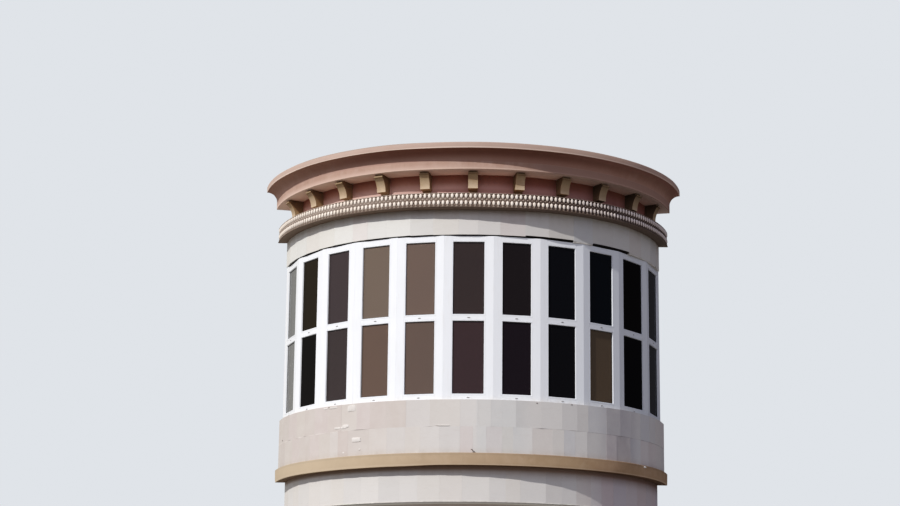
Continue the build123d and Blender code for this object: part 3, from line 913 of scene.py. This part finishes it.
# paler at the left and darker, redder at the right, lighter low down, dark under the soffit, with a paler foot at the
# left: painted light and painted shade
c = g.mix(1.0, c, g.mix(smooth(g, s, -0.9, 0.8), (1.12, 1.03, 1.04), (0.74, 0.58, 0.60)), "MULTIPLY")
c = g.mix(g.math("MULTIPLY", g.math("SUBTRACT", 1.0, smooth(g, z, 2.975, 3.058)),
                 g.math("SUBTRACT", 0.75, g.math("MULTIPLY", smooth(g, s, 0.8, 1.9), 0.55))), c,
          g.mix(smooth(g, s, -0.9, 0.8), (0.640, 0.455, 0.405), (0.480, 0.300, 0.280)))
c = g.mix(g.math("MULTIPLY", smooth(g, z, 3.012, 3.128), 0.84), c, (0.240, 0.098, 0.060))
c = g.mix(g.math("MULTIPLY", g.math("SUBTRACT", 1.0, smooth(g, z, 2.945, 2.985)), 0.9), c,
          g.mix(smooth(g, s, -1.7, -0.2), (0.540, 0.400, 0.350), (0.410, 0.255, 0.228)))
c = g.mix(smooth(g, rad, 2.10, 2.12), inner, c)
cut = smooth(g, y, -0.0012, -0.0006)
c = g.mix(cut, c, g.mix(g.noise(o, 14.0, 5.0, 0.65), (0.30, 0.295, 0.28), (0.46, 0.45, 0.43)))
g.link(c, bb.inputs["Base Color"])
B.make("frieze_render", mat_frieze, "pink_plaster", ["frieze_wall"], sharp=40)

B = Build()
cove = []
for k in range(1, 18):
    t = math.pi / 2 * k / 18
    cove.append((2473.0 - 119.0 * math.cos(t), 3228.0 + 121.0 * math.sin(t)))
head = rounded([(2146.0, 3127.6), (2354.0, 3142.0), (2354.0, 3228.0)], {1: 3.0}, 4)
tail = rounded([(2469.5, 3349.0), (2473.0, 3349.0), (2473.0, 3415.0), (2320.0, 3415.0), (2320.0, 3288.0),
                (2146.0, 3288.0)], {1: 2.5, 2: 9.0, 3: 9.0}, 4)
prof = densify(head + cove + tail, 26.0)
ring(B, prof, 480, wob=risen(waver(2.1, 1.4, 1.6, 11.0)))
B.make("cornice_moulding", mat_pink, "pink_plaster", ["cornice_%s" % k for k in SIDES], sharp=40)

# ---- beaded band: grooved ground, ovals in two rows, lozenges between, flutes below
B = Build()
prof = rounded([(2215.0, Z_BB), (2319.0, Z_BB), (2328.0, 2726.5), (2328.0, 2731.0), (2317.0, 2734.5), (2316.0, 2809.0),
                (2319.0, 2812.0), (2319.0, 2825.0), (2316.0, 2828.0), (2316.0, 2882.0), (2324.0, 2885.0),
                (2324.0, Z_BT), (2215.0, Z_BT)],
               {1: 2.0, 2: 2.5, 3: 2.0, 10: 1.2, 11: 2.0}, 3)
prof = densify(prof, 30.0)
ring(B, prof, 540, wob=swayed(waver(0.7, 0.0, 2.2, 17.0)), tint=[q[1] / 1000.0 for i in range(541) for q in prof])
B.make("band_ground", mat_ground, "cream_beading", ["beaded_band"], sharp=30)

N_OVAL = 127
STEP = 1.2415
OVALS = [0.25 + (i - 63) * STEP for i in range(N_OVAL)]
ROWS = (2779.5, 2855.5)
rnd = random.Random(77)


def on_ring(r, deg, z, du, dz, dn):
    """A point du mm along the curve, dz up and dn out from a spot on the ring."""
    a = math.radians(deg)
    tx, ty = math.cos(a), math.sin(a)
    nx, ny = math.sin(a), -math.cos(a)
    x = r * math.sin(a) + tx * du + nx * dn
    yv = CY - r * math.cos(a) + ty * du + ny * dn
    return (x / 1000, min(yv / 1000, 0.0), (z + dz) / 1000)


B = Build()
NL = 14
for row_z in ROWS:
    for i in range(N_OVAL):
        deg = OVALS[i] + rnd.uniform(-0.02, 0.02)
        hw, hh = 15.9 + rnd.uniform(-0.5, 0.4), 26.6 + rnd.uniform(-0.6, 0.5)
        dz0 = rnd.uniform(-0.6, 0.6) + sway(deg)
        verts, faces = [], []
        levels = [(1.0, -3.0), (1.0, 2.2), (0.96, 5.6), (0.84, 8.8), (0.58, 11.0), (0.26, 12.0)]
        for sc, out in levels:
            for k in range(NL):
                t = 2 * math.pi * k / NL
                # pointed oval: narrower towards its tips
                cu, su = math.cos(t), math.sin(t)
                du = hw * sc * cu * (1.0 - 0.20 * abs(su) ** 3)
                dz = hh * sc * su
                verts.append(on_ring(2316.0, deg, row_z + dz0, du, dz, out))
        verts.append(on_ring(2316.0, deg, row_z + dz0, 0, 0, 12.2))
        nl = len(levels)
        for l in range(nl - 1):
            for k in range(NL):
                k2 = (k + 1) % NL
                faces.append((l * NL + k, l * NL + k2, (l + 1) * NL + k2, (l + 1) * NL + k))
        topc = nl * NL
        for k in range(NL):
            faces.append(((nl - 1) * NL + k, (nl - 1) * NL + (k + 1) % NL, topc))
        faces.append(tuple(reversed(range(NL))))
        B.add(verts, faces, rnd.random())
B.make("band_ovals", mat_oval, "cream_beading", sharp=45)


def pyramid(B, r, deg, z, hw, hh, out, base=-2.5, tint=0.5):
    ring_ = [(hw, 0), (0, hh), (-hw, 0), (0, -hh)]
    verts = [on_ring(r, deg, z, u, v, base) for u, v in ring_]
    verts += [on_ring(r, deg, z, u, v, 0.6) for u, v in ring_]
    verts += [on_ring(r, deg, z, u * 0.35, v * 0.35, out) for u, v in ring_]
    faces = [(3, 2, 1, 0)]
    for l in (0, 4):
        for k in range(4):
            faces.append((l + k, l + (k + 1) % 4, l + 4 + (k + 1) % 4, l + 4 + k))
    faces.append((8, 9, 10, 11))
    B.add(verts, faces, tint)


B = Build()
for i in range(N_OVAL - 1):
    deg = OVALS[i] + STEP / 2
    up_ = sway(deg)
    pyramid(B, 2318.0, deg, 2818.0 + up_, 10.5, 10.0, 5.5, tint=2.818)
    pyramid(B, 2321.0, deg, 2884.0 + up_, 8.0, 3.6, 5.0, tint=2.884)
    pyramid(B, 2317.0, deg, 2751.5 + up_, 7.0, 4.6, 4.5, tint=2.7515)
B.make("band_lozenges", mat_lattice, "cream_beading", sharp=20)

# raised eyelets midway between the ovals, each with a dark disc for the shade in its hollow
B, D = Build(), Build()
for row_z in ROWS:
    for i in range(N_OVAL - 1):
        deg = OVALS[i] + STEP / 2
        zz = row_z + sway(deg)
        verts, faces = [], []
        NE = 12
        for rr_, out in ((8.2, -2.0), (8.2, 2.0), (7.4, 3.6), (6.4, 3.6), (5.8, 2.0), (5.8, -2.0)):
            for q in range(NE):
                t = 2 * math.pi * q / NE
                verts.append(on_ring(2316.0, deg, zz, rr_ * math.cos(t), rr_ * math.sin(t), out))
        for l in range(5):
            for q in range(NE):
                q2 = (q + 1) % NE
                faces.append((l * NE + q, l * NE + q2, (l + 1) * NE + q2, (l + 1) * NE + q))
        for q in range(NE):
            q2 = (q + 1) % NE
            faces.append((5 * NE + q, 5 * NE + q2, q2, q))
        B.add(verts, faces, 2.80)
        verts = [on_ring(2316.0, deg, zz, 6.1 * math.cos(2 * math.pi * q / NE),
                         6.1 * math.sin(2 * math.pi * q / NE), 0.9) for q in range(NE)]
        verts += [on_ring(2316.0, deg, zz, 6.1 * math.cos(2 * math.pi * q / NE),
                          6.1 * math.sin(2 * math.pi * q / NE), -1.5) for q in range(NE)]
        faces = [tuple(range(NE)), tuple(reversed(range(NE, 2 * NE)))]
        for q in range(NE):
            q2 = (q + 1) % NE
            faces.append((q, NE + q, NE + q2, q2))
        D.add(verts, faces)
B.make("band_eyelets", mat_ground, "cream_beading", sharp=40)
D.make("band_eyelet_hollows", mat_hollow_shade, "cream_beading", sharp=40)

# flutes under the lower row: a small rounded tongue below every oval
B = Build()
for i in range(N_OVAL):
    deg = OVALS[i]
    path = [(2319.0, 2749.5), (2322.6, 2745.5), (2323.4, 2740.5), (2322.0, 2736.0), (2318.5, 2733.2)]
    wid = [6.0, 10.5, 13.0, 13.0, 11.0]
    verts, faces = [], []
    M = 7
    for (r, z), w in zip(path, wid):
        for k in range(M):
            t = math.pi * k / (M - 1)
            du = -w * math.cos(t)
            bulge = 4.6 * math.sin(t)
            verts.append(on_ring(r + bulge * 0.75, deg, z - bulge * 0.35 + sway(deg), du, 0, 0))
    for l in range(len(path) - 1):
        for k in range(M - 1):
            a = l * M + k
            faces.append((a, a + 1, a + 1 + M, a + M))
    # closed at the back by a copy set into the ground
    off = len(verts)
    for (r, z), w in zip(path, wid):
        verts.append(on_ring(r - 6.0, deg, z + 5.0 + sway(deg), -w, 0, 0))
        verts.append(on_ring(r - 6.0, deg, z + 5.0 + sway(deg), w, 0, 0))
    n = len(path)
    for l in range(n - 1):
        faces.append((l * M, (l + 1) * M, off + 2 * (l + 1), off + 2 * l))
        faces.append((l * M + M - 1, off + 2 * l + 1, off + 2 * (l + 1) + 1, (l + 1) * M + M - 1))
        faces.append((off + 2 * l, off + 2 * (l + 1), off + 2 * (l + 1) + 1, off + 2 * l + 1))
    faces.append(tuple(range(M)) + (off + 1, off))
    e = (n - 1) * M
    faces.append(tuple(reversed(range(e, e + M))) + (off + 2 * (n - 1), off + 2 * (n - 1) + 1))
    B.add(verts, faces, 2.741)
B.make("band_flutes", mat_lattice, "cream_beading", sharp=50)

# ---------------------------------------------------------------- brackets
def bracket(B, deg):
    rr = random.Random(int(deg * 10) + 1000)
    a = math.radians(deg)

    def put(outline, width, tint):
        n = len(outline)
        verts, faces = [], []
        for sgn in (-1, 1):
            for r, z in outline:
                # the back sits on the curved frieze
                verts.append(on_ring(0.0, deg, z, sgn * width / 2, 0, r))
        faces.append(tuple(range(n)))
        faces.append(tuple(reversed(range(n, 2 * n))))
        for k in range(n):
            k2 = (k + 1) % n
            faces.append((k, n + k, n + k2, k2))
        B.add(verts, faces, tint)

    up_ = rise(deg)
    front = 2318.0 + (8.0 if deg < -20 else -10.0) + rr.uniform(-1.5, 1.5)
    w = 107.0 + rr.uniform(-2, 2)
    put([(2130.0, 3117.0 + up_), (front - 24, 3117.0 + up_), (front - 24, 3139.5 + up_), (2130.0, 3125.0 + up_)],
        w - 8.0, 0.5)
    put([(2130.0, 3102.0 + up_), (front, 3102.0 + up_), (front, 3118.0 + up_), (2130.0, 3118.0 + up_)],
        w + 1.0, 0.5)
    sweep = []
    for k in range(0, 13):
        t = k / 12.0
        sweep.append((2247.0 + (front - 8.0 - 2247.0) * t ** 2.2, 2952.0 + up_ + 151.0 * t))
    put([(2130.0, 2952.0 + up_)] + sweep + [(2130.0, 3103.0 + up_)], w, 0.5)
    put([(2130.0, 2888.5), (2158.0, 2888.5), (2172.0, 2952.5 + up_), (2130.0, 2952.5 + up_)], w - 14.0, 0.5)


B = Build()
for d in BRACKETS:
    bracket(B, d)
B.make("bracket_blocks", mat_bracket, "tan_plaster", ["cornice_brackets"], sharp=18, bevel=0.0014, segs=1)

# ---------------------------------------------------------------- windows
def facet(k):
    a0, a1 = FACETS[k], FACETS[k + 1]
    A = Vector(pol(R_FRAME, a0, 0)) * 1000.0
    Bp = Vector(pol(R_FRAME, a1, 0)) * 1000.0
    t = Bp - A
    L = t.length
    t.normalize()
    n = Vector((-t.y, t.x, 0.0))
    if n.dot(Vector((0, CY, 0)) - A) < 0:
        n = -n
    return A, t, n, L, math.radians((a1 - a0) / 2)


def fpt(A, t, n, u, v, z):
    q = A + t * u + n * v
    return (q.x / 1000, min(q.y / 1000, 0.0), z / 1000)


def prism_uv(B, F, poly, z0, z1, tint=0.5):
    A, t, n, L, half = F
    m = len(poly)
    verts = [fpt(A, t, n, u, v, z0) for u, v in poly] + [fpt(A, t, n, u, v, z1) for u, v in poly]
    faces = [tuple(reversed(range(m))), tuple(range(m, 2 * m))]
    for k in range(m):
        k2 = (k + 1) % m
        faces.append((k, k2, m + k2, m + k))
    B.add(verts, faces, tint)


def rect_sweep(B, F, u0, u1, z0, z1, prof, tint=0.5):
    """Closed (offset, depth) outline carried round a rectangle with mitred corners."""
    A, t, n, L, half = F
    m = len(prof)
    verts = []
    for o, d in prof:
        for cu, cz in ((u0 - o, z0 - o), (u1 + o, z0 - o), (u1 + o, z1 + o), (u0 - o, z1 + o)):
            verts.append(fpt(A, t, n, cu, d, cz))
    faces = []
    for i in range(m):
        i2 = (i + 1) % m
        for c in range(4):
            c2 = (c + 1) % 4
            faces.append((i * 4 + c, i * 4 + c2, i2 * 4 + c2, i2 * 4 + c))
    B.add(verts, faces, tint)


BEAD = 17.0
# pane colours set pane by pane: painted reflections, and painted light seen through the glass
pane_tints_painted_reflections = {
    # bronze, a little lighter in the fourth and fifth windows, near black to the right
    1: ((0.200, 0.210, 0.210), (0.214, 0.222, 0.222)),
    2: ((0.030, 0.023, 0.013), (0.004, 0.003, 0.003)),
    3: ((0.092, 0.078, 0.082), (0.082, 0.071, 0.072)),
    4: ((0.226, 0.188, 0.160), (0.186, 0.142, 0.120)),
    5: ((0.218, 0.172, 0.150), (0.188, 0.148, 0.130)),
    6: ((0.078, 0.063, 0.063), (0.088, 0.063, 0.068)),
    7: ((0.032, 0.026, 0.029), (0.029, 0.021, 0.029)),
    8: ((0.009, 0.010, 0.015), (0.010, 0.010, 0.013)),
    9: ((0.001, 0.004, 0.009), (0.165, 0.130, 0.092)),
    10: ((0.002, 0.001, 0.001), (0.001, 0.001, 0.003)),
    11: ((0.004, 0.008, 0.011), (0.003, 0.007, 0.009)),
}

for k in range(11):
    F = facet(k)
    A, t, n, L, half = F
    B = Build()
    inner_u0, inner_u1 = STILE - BEAD, L - STILE + BEAD
    mit = FRAME_D * math.tan(half)
    g1 = 0.15                      # half of the open joint between neighbours
    top_z = Z_FT + 0.9 * rise((FACETS[k] + FACETS[k + 1]) / 2)
    prism_uv(B, F, [(g1, 0), (inner_u0, 0), (inner_u0, FRAME_D), (mit + g1, FRAME_D)], Z_SILL + 0.5, top_z)
    prism_uv(B, F, [(inner_u1, 0), (L - g1, 0), (L - mit - g1, FRAME_D), (inner_u1, FRAME_D)], Z_SILL + 0.5, top_z)
    rails = ((Z_SILL + 0.5, PANES[0][0] - BEAD), (PANES[0][1] + BEAD, PANES[1][0] - BEAD), (PANES[1][1] + BEAD, top_z))
    for z0, z1 in rails:
        prism_uv(B, F, [(inner_u0 + 0.35, 0.5), (inner_u1 - 0.35, 0.5), (inner_u1 - 0.35, FRAME_D - 0.5),
                        (inner_u0 + 0.35, FRAME_D - 0.5)], z0, z1)
    B.make("window_%02d_frame" % (k + 1), mat_frame, "white_frame", ["window_frame_%02d" % (k + 1)],
           sharp=18, bevel=0.0005, segs=1)
    B = Build()
    for z0, z1 in PANES:
        prof = [(BEAD - 0.6, 0.4), (BEAD - 1.4, -0.4), (4.6, -0.4), (3.4, 0.4), (0.8, 10.8), (0.2, 11.6), (0.2, 15.9),
                (BEAD - 0.6, 15.9)]
        rect_sweep(B, F, STILE, L - STILE, z0, z1, prof)
        prof = [(0.4, 22.4), (BEAD - 0.8, 22.4), (BEAD - 0.8, 59.0), (BEAD - 4.0, 60.2), (2.0, 52.0), (0.4, 49.0)]
        rect_sweep(B, F, STILE, L - STILE, z0, z1, prof)
    B.make("window_%02d_beads" % (k + 1), mat_frame, "white_frame", sharp=30)
    B = Build()
    for z0, z1 in PANES:
        prof = [(1.0, 12.6), (-2.0, 13.2), (-4.2, 14.8), (-4.2, 15.95), (1.0, 15.95)]
        rect_sweep(B, F, STILE, L - STILE, z0, z1, prof)
        prof = [(1.0, 22.05), (-3.4, 22.05), (-3.4, 23.4), (1.0, 25.0)]
        rect_sweep(B, F, STILE, L - STILE, z0, z1, prof)
    B.make("window_%02d_gaskets" % (k + 1), mat_gasket, "joint_packing", sharp=30)
    # panes
    B = Build()
    cols = []
    for (z0, z1), colr in zip(PANES, pane_tints_painted_reflections[k + 1]):
        prism_uv(B, F, [(STILE - 9, 16.0), (L - STILE + 9, 16.0), (L - STILE + 9, 22.0), (STILE - 9, 22.0)],
                 z0 - 9, z1 + 9)
        cols += [colr] * 8
    ob = B.make("window_%02d_panes" % (k + 1), mat_glass, "bronze_glass", ["window_glass_%02d" % (k + 1)], sharp=30)
    at = ob.data.attributes.new("pane", "FLOAT_COLOR", "POINT")
    for i, v in enumerate(at.data):
        # the two panes are told apart by height
        zv = ob.data.vertices[i].co.z
        colr = pane_tints_painted_reflections[k + 1][0] if zv > 1.53 else pane_tints_painted_reflections[k + 1][1]
        v.color = (colr[0], colr[1], colr[2], 1.0)

# drain caps on the transom and the sill rail: a small hood, with a dark box for the shade in its slot
B, S = Build(), Build()
for k in range(11):
    F = facet(k)
    A, t, n, L, half = F
    for zc in (1531.0, 664.0):
        um = L / 2 + (3.0 if k % 2 else -4.0)
        ngon = 20
        hw, hh = 17.0, 5.2
        verts, faces = [], []
        for sc, d in ((1.0, 0.6), (1.0, -1.8), (0.82, -3.6)):
            for q in range(ngon):
                tt = 2 * math.pi * q / ngon
                cx = math.copysign(abs(math.cos(tt)) ** 0.6, math.cos(tt)) * hw * sc
                cz = math.copysign(abs(math.sin(tt)) ** 0.8, math.sin(tt)) * hh * sc
                verts.append(fpt(A, t, n, um + cx, d, zc + cz))
        for l in range(2):
            for q in range(ngon):
                q2 = (q + 1) % ngon
                faces.append((l * ngon + q, l * ngon + q2, (l + 1) * ngon + q2, (l + 1) * ngon + q))
        faces.append(tuple(reversed(range(ngon))))
        faces.append(tuple(range(2 * ngon, 3 * ngon)))
        B.add(verts, faces)
        prism_uv(S, F, [(um - 11, -4.2), (um + 11, -4.2), (um + 11, -0.4), (um - 11, -0.4)], zc - 2.6, zc + 0.6)
B.make("drain_caps", mat_cap, "white_frame", sharp=40)
S.make("drain_slots", mat_hollow_shade, "joint_packing", sharp=40)

# sealant along the sill joint
B = Build()
for k in range(11):
    F = facet(k)
    A, t, n, L, half = F
    verts = []
    prof = [(-7.0, Z_SILL + 4.0), (-7.0, Z_SILL + 6.8), (-2.0, Z_SILL + 8.6), (-0.1, Z_SILL + 12.0), (4.0, Z_SILL + 12.0),
            (4.0, Z_SILL + 4.0)]
    m = len(prof)
    for u, sg in ((2.0, 1), (L - 2.0, -1)):
        for v, zz in prof:
            verts.append(fpt(A, t, n, u + sg * v * math.tan(half), v, zz))
    faces = [tuple(range(m)), tuple(reversed(range(m, 2 * m)))]
    for q in range(m):
        q2 = (q + 1) % m
        faces.append((q, m + q, m + q2, q2))
    B.add(verts, faces)
B.make("sill_sealant", mat_seal, "white_frame", sharp=50)

# mortar that closes the joint over the frames at the right-hand end
B = Build()


def ragged(seed, amp):
    def w(r, deg, z):
        p = Vector((deg * 1.3, z / 6.0, seed))
        return (amp * noise.noise(p) + 0.5 * amp * noise.noise(p * 3.7), 0.0)
    return w


for (a0, a1, sd) in ((29.6, 36.3, 1.0), (52.2, 72.0, 2.0), (72.8, 78.6, 3.0)):
    prof = densify([(2150.0, 2430.2), (2219.0, 2430.2), (2221.0, 2436.0), (2219.5, 2441.0), (2150.0, 2441.0)], 12.0)
    ring(B, prof, max(20, int((a1 - a0) * 6)), a0=a0, a1=a1, wob=ragged(sd, 2.5))
B.make("head_joint_mortar", mat_fill, "stone_cladding", sharp=50)

# ---------------------------------------------------------------- small marks
def blob(B, r, deg, z, su, sz, sn, seed, sub=2):
    bm = bmesh.new()
    bmesh.ops.create_icosphere(bm, subdivisions=sub, radius=1.0)
    verts = []
    for v in bm.verts:
        k = 1.0 + 0.35 * noise.noise(v.co * 1.7 + Vector((seed, 0, 0)))
        verts.append(on_ring(r, deg, z, v.co.x * su * k, v.co.z * sz * k, v.co.y * -sn * k))
    faces = [tuple(v.index for v in f.verts) for f in bm.faces]
    B.add(verts, faces)
    bm.free()


B = Build()
blob(B, 2272.0, 0.64, 66.0, 10.0, 5.0, 9.0, 1.0)
# bent nail that stands out of the ledge
pts = [(2271.0, 0.66, 60.0), (2272.0, 0.60, 71.0), (2273.0, 0.40, 80.0), (2275.0, 0.12, 88.0), (2277.0, -0.18, 97.0)]
verts, faces = [], []
M = 8
for i, (r, dg, z) in enumerate(pts):
    for q in range(M):
        tt = 2 * math.pi * q / M
        verts.append(on_ring(r, dg, z, 6.2 * math.cos(tt), 0.0, 5.0 * math.sin(tt)))
for i in range(len(pts) - 1):
    for q in range(M):
        q2 = (q + 1) % M
        faces.append((i * M + q, i * M + q2, (i + 1) * M + q2, (i + 1) * M + q))
faces.append(tuple(reversed(range(M))))
faces.append(tuple((len(pts) - 1) * M + q for q in range(M)))
B.add(verts, faces)
blob(B, 2278.0, -0.22, 98.0, 9.0, 4.5, 8.0, 4.0)
# a few dark stubs in the stone under the sill and at the left end
for dg, z, su, sz, sd in ((-44.1, 622.0, 14.0, 5.0, 5.0), (28.3, 626.0, 13.0, 4.0, 6.0), (17.8, 616.0, 9.0, 4.0, 7.0),
                          (-72.5, 375.0, 22.0, 6.0, 8.0)):
    blob(B, 2252.0, dg, z, su, sz, 3.0, sd, 2)
B.make("ledge_nail", mat_nail, "joint_packing", sharp=50)

# a small pale spot on the string course near its top edge at the right
B = Build()
blob(B, 2289.5, 56.8, 47.0, 30.0, 8.5, 4.0, 8.0)
B.make("pale_spot_mark", mat_pale_spot, "tan_plaster", sharp=50)

# pale mortar repairs smeared on the stone at the left
mat_repair = simple("repair_mortar", (0.60, 0.575, 0.55), (0.68, 0.655, 0.63), 26.0, 0.9, 0.2,
                    ((60.0, 0.4, 0.003), (260.0, 0.3, 0.001)))
B = Build()
for dg, z, w, h, sd in ((-35.6, 588.0, 112.0, 74.0, 1.0), (-33.7, 242.0, 118.0, 52.0, 2.0), (-39.6, 384.0, 176.0, 26.0, 3.0),
                        (-37.6, 398.0, 90.0, 30.0, 4.0), (-32.6, 135.0, 22.0, 16.0, 5.0), (-38.2, 111.0, 26.0, 16.0, 6.0),
                        (-8.0, 357.0, 150.0, 8.0, 7.0), (-43.5, 615.0, 210.0, 24.0, 8.0)):
    n_ = 26
    outl = []
    for q in range(n_):
        tt = 2 * math.pi * q / n_
        k = 1.0 + 0.22 * noise.noise(Vector((math.cos(tt) * 1.6, math.sin(tt) * 1.6, sd * 3.7)))
        outl.append((math.copysign(abs(math.cos(tt)) ** 0.5, math.cos(tt)) * w / 2 * k,
                     math.copysign(abs(math.sin(tt)) ** 0.6, math.sin(tt)) * h / 2 * k))
    verts = []
    for sc_, out in ((1.0, -6.0), (1.0, 0.2), (0.95, 0.9)):
        for du, dz in outl:
            # each point keeps its own place on the curve
            verts.append(on_ring(2253.0, dg + math.degrees(du * sc_ / 2253.0), z + dz * sc_, 0, 0, out))
    faces = [tuple(reversed(range(n_))), tuple(range(2 * n_, 3 * n_))]
    for l in range(2):
        for q in range(n_):
            q2 = (q + 1) % n_
            faces.append((l * n_ + q, l * n_ + q2, (l + 1) * n_ + q2, (l + 1) * n_ + q))
    B.add(verts, faces)
B.make("mortar_repairs", mat_repair, "stone_cladding", sharp=50)

# pale plaster arris along the lower edge
B = Build()
prof = rounded([(2150.0, -445.0), (2172.0, -445.0), (2173.0, -434.0), (2150.0, -434.0)], {1: 2.0, 2: 2.0}, 3)
arris_wave = waver(0.8, 0.0, 3.0, 23.0)
ring(B, prof, 320, wob=lambda r, deg, z: (arris_wave(r, deg, z)[0] + belly(deg), 0.0))
B.make("lower_edge_arris", mat_fill, "stone_cladding", sharp=50)

# ---------------------------------------------------------------- stage, light, camera
def stage_floor():
    me = bpy.data.meshes.new("studio_floor")
    n_ = 64
    me.from_pydata([(4.6 * math.cos(2 * math.pi * q / n_), 4.6 * math.sin(2 * math.pi * q / n_) - 0.9, -4.1)
                    for q in range(n_)], [], [tuple(range(n_))])
    ob = bpy.data.objects.new("studio_floor", me)
    bpy.context.scene.collection.objects.link(ob)
    m, nt, b = new_mat("studio_floor")
    g = G(nt)
    nz = g.noise(g.obj(), 0.6, 3.0, 0.5)
    g.link(g.mix(nz, (0.34, 0.335, 0.33), (0.39, 0.385, 0.38)), b.inputs["Base Color"])
    b.inputs["Roughness"].default_value = 0.9
    me.materials.append(m)


stage_floor()

sc = bpy.context.scene
world = bpy.data.worlds.new("studio")
world.use_nodes = True
wn = world.node_tree
bg = wn.nodes["Background"]
geo = wn.nodes.new("ShaderNodeTexCoord")
sepz = wn.nodes.new("ShaderNodeSeparateXYZ")
wn.links.new(geo.outputs["Generated"], sepz.inputs[0])
rmp = wn.nodes.new("ShaderNodeValToRGB")
rmp.color_ramp.interpolation = "EASE"
rmp.color_ramp.elements[0].position = 0.44
rmp.color_ramp.elements[0].color = (0.270, 0.245, 0.220, 1.0)
rmp.color_ramp.elements[1].position = 0.56
rmp.color_ramp.elements[1].color = (0.520, 0.525, 0.625, 1.0)
half_up = wn.nodes.new("ShaderNodeMath")
half_up.operation = "MULTIPLY_ADD"
half_up.inputs[1].default_value = 0.5
half_up.inputs[2].default_value = 0.5
wn.links.new(sepz.outputs[2], half_up.inputs[0])
wn.links.new(half_up.outputs[0], rmp.inputs[0])
side_r = wn.nodes.new("ShaderNodeValToRGB")
side_r.color_ramp.interpolation = "EASE"
side_r.color_ramp.elements[0].position = 0.42
side_r.color_ramp.elements[0].color = (0.62, 0.60, 0.57, 1.0)
side_r.color_ramp.elements[1].position = 0.58
side_r.color_ramp.elements[1].color = (0.130, 0.125, 0.140, 1.0)
half_x = wn.nodes.new("ShaderNodeMath")
half_x.operation = "MULTIPLY_ADD"
half_x.inputs[1].default_value = 0.5
half_x.inputs[2].default_value = 0.5
wn.links.new(sepz.outputs[0], half_x.inputs[0])
wn.links.new(half_x.outputs[0], side_r.inputs[0])
behind = wn.nodes.new("ShaderNodeMapRange")
behind.interpolation_type = "SMOOTHSTEP"
behind.inputs[1].default_value = -0.10
behind.inputs[2].default_value = 0.16
wn.links.new(sepz.outputs[1], behind.inputs[0])
env = wn.nodes.new("ShaderNodeMix")
env.data_type = "RGBA"
wn.links.new(behind.outputs[0], env.inputs[0])
wn.links.new(rmp.outputs[0], env.inputs[6])
wn.links.new(side_r.outputs[0], env.inputs[7])
wn.links.new(env.outputs[2], bg.inputs["Color"])
bg.inputs["Strength"].default_value = 1.0
bg2 = wn.nodes.new("ShaderNodeBackground")
bg2.inputs["Color"].default_value = (0.74, 0.77, 0.81, 1.0)
bg2.inputs["Strength"].default_value = 1.0
lp = wn.nodes.new("ShaderNodeLightPath")
mx = wn.nodes.new("ShaderNodeMixShader")
wn.links.new(lp.outputs["Is Camera Ray"], mx.inputs[0])
wn.links.new(bg.outputs[0], mx.inputs[1])
wn.links.new(bg2.outputs[0], mx.inputs[2])
wn.links.new(mx.outputs[0], wn.nodes["World Output"].inputs["Surface"])
sc.world = world

sun = bpy.data.lights.new("key", "SUN")
sun.energy = 3.45
sun.angle = math.radians(1.0)
sun.color = (1.0, 0.965, 0.915)
so = bpy.data.objects.new("key", sun)
sc.collection.objects.link(so)
az, el = math.radians(40.8), math.radians(41.0)
to_sun = Vector((-math.sin(az) * math.cos(el), -math.cos(az) * math.cos(el), math.sin(el)))
so.rotation_euler = to_sun.to_track_quat("Z", "Y").to_euler()

cam = bpy.data.cameras.new("view")
cam.sensor_width = 36.0
cam.lens = 1998.8 / 900.0 * 36.0
cam.clip_end = 200.0
cam.dof.use_dof = False
co = bpy.data.objects.new("view", cam)
sc.collection.objects.link(co)
yaw, pitch, roll = math.radians(-0.293), math.radians(12.664), math.radians(0.600)
fwd = Vector((math.sin(yaw) * math.cos(pitch), math.cos(yaw) * math.cos(pitch), math.sin(pitch)))
right0 = Vector((math.cos(yaw), -math.sin(yaw), 0.0))
up0 = right0.cross(fwd)
right = right0 * math.cos(roll) + up0 * math.sin(roll)
upv = up0 * math.cos(roll) - right0 * math.sin(roll)
M4 = Matrix((
    (right.x, upv.x, -fwd.x, -0.15075),
    (right.y, upv.y, -fwd.y, -22.89298),
    (right.z, upv.z, -fwd.z, -2.50610),
    (0, 0, 0, 1)))
co.matrix_world = M4
sc.camera = co

sc.view_settings.view_transform = "Standard"
sc.view_settings.look = "None"
sc.view_settings.exposure = 0.0
sc.view_settings.gamma = 1.0
# a little photographic contrast in the darks
sc.view_settings.use_curve_mapping = True
cm = sc.view_settings.curve_mapping
cv = cm.curves[3]
for px, py in ((0.03, 0.017), (0.09, 0.072), (0.22, 0.215)):
    cv.points.new(px, py)
cm.update()
